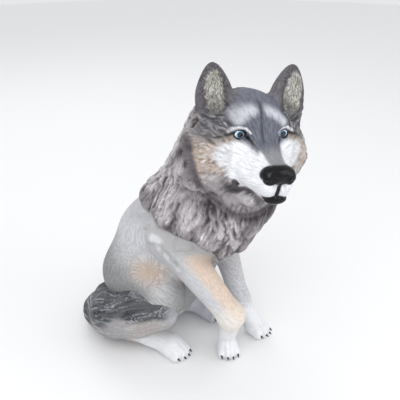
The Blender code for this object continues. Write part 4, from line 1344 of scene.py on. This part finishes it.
class WOLF_OT_body(bpy.types.Operator):
    """Carves and paints the wolf's body and head"""

    bl_idname = "wolf_figurine.body"
    bl_label = "Body and Head"

    def execute(self, context):
        sizes, paints = context.scene.wolf_sizes, context.scene.wolf_colours
        clay = wolf_clay(sizes.eye_radius)
        mesh = self.sculpt(clay, sizes)
        points = clay.settle(get_points(mesh), 1)
        coat = Coat(points, clay.outward(points))
        local = to_head(points)
        above = points[:, 2] - ruff_edge(points)
        depth = head_depth(local)
        comb_coat(coat, local, depth, above)
        in_ruff, face_fur, feather, groove = carve_coat(coat, clay, sizes, local, depth, above)
        lips = carve_face(coat, local)
        carve_toes(coat, clay.paws)
        paint_body(coat, paints, above, feather)
        paint_ruff(coat, paints, above, in_ruff)
        paint_head(coat, paints, local, depth, face_fur, lips)
        # Painted shade in the groove under the cheeks, deepest in pockets where a lock's tint is high
        coat.lay(paints.shadow, groove * (0.10 + 0.6 * smooth_step(0.0, 0.9, coat.tint)))
        set_points(mesh, points + coat.outward * coat.height[:, None])
        coat.write(mesh)
        set_gloss(mesh, coat.gloss)
        cut_base(mesh)
        mesh.shade_smooth()
        nose = painted("painted_nose", dress_nose, roughness=0.13, specular=0.22)
        new_piece("wolf_body", mesh, coat_material(), nose)
        return {"FINISHED"}

    def sculpt(self, clay, sizes):
        """The body's mesh, finer on the ruff, the paws and the head, and finest on the face."""
        mesh = skin(clay, sizes.skin_cell)
        points = get_points(mesh)
        fine = points[:, 2] - ruff_edge(points) > -FINE_RUFF
        fine |= np.linalg.norm(to_head(points), axis=1) < FINE_HEAD
        for centre, _, scale in clay.paws:
            fine |= np.linalg.norm(points - np.array(centre), axis=1) < PAW_SIZE[1] * scale * FINE_PAW
        refine(mesh, clay, fine)
        local = to_head(get_points(mesh))
        fine = (np.abs(local[:, 0]) < FINEST_SIDE) & (local[:, 1] > FINEST_FRONT)
        fine &= np.abs(local[:, 2] - FINEST_MIDDLE) < FINEST_RISE
        refine(mesh, clay, fine)
        return mesh


class WOLF_OT_tail(bpy.types.Operator):
    """Carves and paints the wolf's tail"""

    bl_idname = "wolf_figurine.tail"
    bl_label = "Tail"

    def execute(self, context):
        sizes, paints = context.scene.wolf_sizes, context.scene.wolf_colours
        clay = tail_clay()
        mesh = skin(clay, sizes.tail_cell)
        points = get_points(mesh)
        coat = Coat(points, clay.outward(points))
        along, _, heading = along_path(points, TAIL_POINTS)
        parted = TAIL_SPREAD * (2.0 * smooth_step(-0.35, 0.55, coat.outward[:, 2]) - 1.0)
        coat.flow = flat_to_skin(heading + np.array((0.0, 0.0, 1.0)) * parted[:, None], coat.outward)
        weight = smooth_step(0.05, 0.20, along)
        rng = random.Random(TAIL_SEED)
        coat.locks(weight, (sizes.tail_length, sizes.tail_width, sizes.tail_height), rng, 0.5)
        paint_tail(coat, paints, along, weight)
        set_points(mesh, points + coat.outward * coat.height[:, None])
        coat.write(mesh)
        cut_base(mesh)
        mesh.shade_smooth()
        new_piece("wolf_tail", mesh, coat_material())
        return {"FINISHED"}


class WOLF_OT_eyes(bpy.types.Operator):
    """Sets both eyeballs behind their lids"""

    bl_idname = "wolf_figurine.eyes"
    bl_label = "Eyes"

    def execute(self, context):
        sizes, paints = context.scene.wolf_sizes, context.scene.wolf_colours
        bm = bmesh.new()
        across, front, top = EYE_CENTRE
        facing = HEAD @ Matrix.Rotation(math.radians(-90), 3, "X")
        for side in (-1, 1):
            place = Matrix.Translation(in_head(side * across, front, top) + CAST_ORIGIN) @ facing.to_4x4()
            bmesh.ops.create_uvsphere(bm, u_segments=48, v_segments=48, radius=sizes.eye_radius,
                                      matrix=place)
        sort_faces(bm)
        mesh = finished_mesh(bm, "wolf_eyes")
        local = to_head(get_points(mesh) - np.array(CAST_ORIGIN))
        local[:, 0] = np.abs(local[:, 0])
        ahead = unit(local - np.array(EYE_CENTRE))[:, 1]
        gaze = mesh.attributes.new("gaze", "FLOAT", "POINT")
        gaze.data.foreach_set("value", np.arccos(np.clip(ahead, -1.0, 1.0)))
        mesh.shade_smooth()
        new_piece("wolf_eyes", mesh, painted("painted_eye", dress_eye, paints, roughness=0.12))
        return {"FINISHED"}


class WOLF_OT_claws(bpy.types.Operator):
    """Sets the four claws of each paw"""

    bl_idname = "wolf_figurine.claws"
    bl_label = "Claws"

    def execute(self, context):
        sizes, paints = context.scene.wolf_sizes, context.scene.wolf_colours
        bm = bmesh.new()
        ahead, up = CLAW_SEAT
        droop = Matrix.Rotation(CLAW_DROOP, 3, "X")
        for centre, turn, scale in wolf_clay(sizes.eye_radius).paws:
            for toe in toe_places(centre, turn, scale):
                root = toe + turn @ Vector((0, -ahead * scale, up)) + CAST_ORIGIN
                place = Matrix.Translation(root) @ (turn @ droop).to_4x4()
                bmesh.ops.create_cone(bm, cap_ends=True, segments=12, radius1=sizes.claw_radius,
                                      radius2=sizes.claw_radius * CLAW_TIP, depth=sizes.claw_length,
                                      matrix=place)
        mesh = finished_mesh(bm, "wolf_claws")
        mesh.shade_smooth()
        new_piece("wolf_claws", mesh, painted("painted_claw", dress_claw, paints, roughness=0.3))
        return {"FINISHED"}


class WOLF_OT_stage(bpy.types.Operator):
    """Lays the pale floor and sets the soft lights and the camera"""

    bl_idname = "wolf_figurine.stage"
    bl_label = "Studio"

    def execute(self, context):
        studio, paints = context.scene.wolf_studio, context.scene.wolf_colours
        bm = bmesh.new()
        bmesh.ops.create_circle(bm, cap_ends=True, segments=studio.floor_cuts, radius=studio.floor_size / 2)
        mesh = finished_mesh(bm, "studio_floor")
        floor = bpy.data.objects.new("studio_floor", mesh)
        mesh.materials.append(painted("studio_floor", dress_floor, paints, roughness=0.8))
        context.scene.collection.objects.link(floor)
        world = bpy.data.worlds.new("studio_light")
        world.use_nodes = True
        world.node_tree.nodes["Background"].inputs["Color"].default_value = (0.97, 0.98, 1.0, 1.0)
        world.node_tree.nodes["Background"].inputs["Strength"].default_value = studio.sky_strength
        context.scene.world = world
        context.scene.view_settings.view_transform = "Standard"
        aim = Vector((0.0, 0.0, studio.aim_height)) + CAST_ORIGIN
        for name, place, size, power in LIGHTS:
            lamp = bpy.data.lights.new(name, "AREA")
            lamp.size = size
            lamp.energy = power
            light = bpy.data.objects.new(name, lamp)
            light.location = place
            light.rotation_euler = (light.location - aim).to_track_quat("Z", "Y").to_euler()
            context.scene.collection.objects.link(light)
        lens = bpy.data.cameras.new("camera")
        lens.lens = studio.lens
        lens.sensor_width = 36.0
        camera = bpy.data.objects.new("camera", lens)
        back = Vector((math.sin(studio.azimuth) * math.cos(studio.elevation),
                       -math.cos(studio.azimuth) * math.cos(studio.elevation), math.sin(studio.elevation)))
        camera.location = aim + back * studio.distance
        camera.rotation_euler = back.to_track_quat("Z", "Y").to_euler()
        context.scene.collection.objects.link(camera)
        context.scene.camera = camera
        return {"FINISHED"}


class WOLF_PT_panel(bpy.types.Panel):
    """The figurine's sizes, paints and pieces"""

    bl_label = "Seated Wolf"
    bl_idname = "WOLF_PT_panel"
    bl_space_type = "VIEW_3D"
    bl_region_type = "UI"
    bl_category = "Wolf"

    def draw(self, context):
        for step in STEPS:
            self.layout.operator(step.bl_idname)
        for group in (context.scene.wolf_sizes, context.scene.wolf_colours, context.scene.wolf_studio):
            box = self.layout.box()
            for name in group.bl_rna.properties.keys():
                if name not in ("rna_type", "name"):
                    box.prop(group, name)


STEPS = (WOLF_OT_stage, WOLF_OT_body, WOLF_OT_tail, WOLF_OT_eyes, WOLF_OT_claws)
CLASSES = (WolfSizes, WolfColours, StudioSizes, *STEPS, WOLF_PT_panel)


def register():
    for item in CLASSES:
        bpy.utils.register_class(item)
    bpy.types.Scene.wolf_sizes = PointerProperty(type=WolfSizes)
    bpy.types.Scene.wolf_colours = PointerProperty(type=WolfColours)
    bpy.types.Scene.wolf_studio = PointerProperty(type=StudioSizes)


def unregister():
    del bpy.types.Scene.wolf_studio
    del bpy.types.Scene.wolf_colours
    del bpy.types.Scene.wolf_sizes
    for item in reversed(CLASSES):
        bpy.utils.unregister_class(item)


def main():
    register()
    bpy.ops.wolf_figurine.stage()
    bpy.ops.wolf_figurine.body()
    bpy.ops.wolf_figurine.tail()
    bpy.ops.wolf_figurine.eyes()
    bpy.ops.wolf_figurine.claws()


if __name__ == "__main__":
    main()
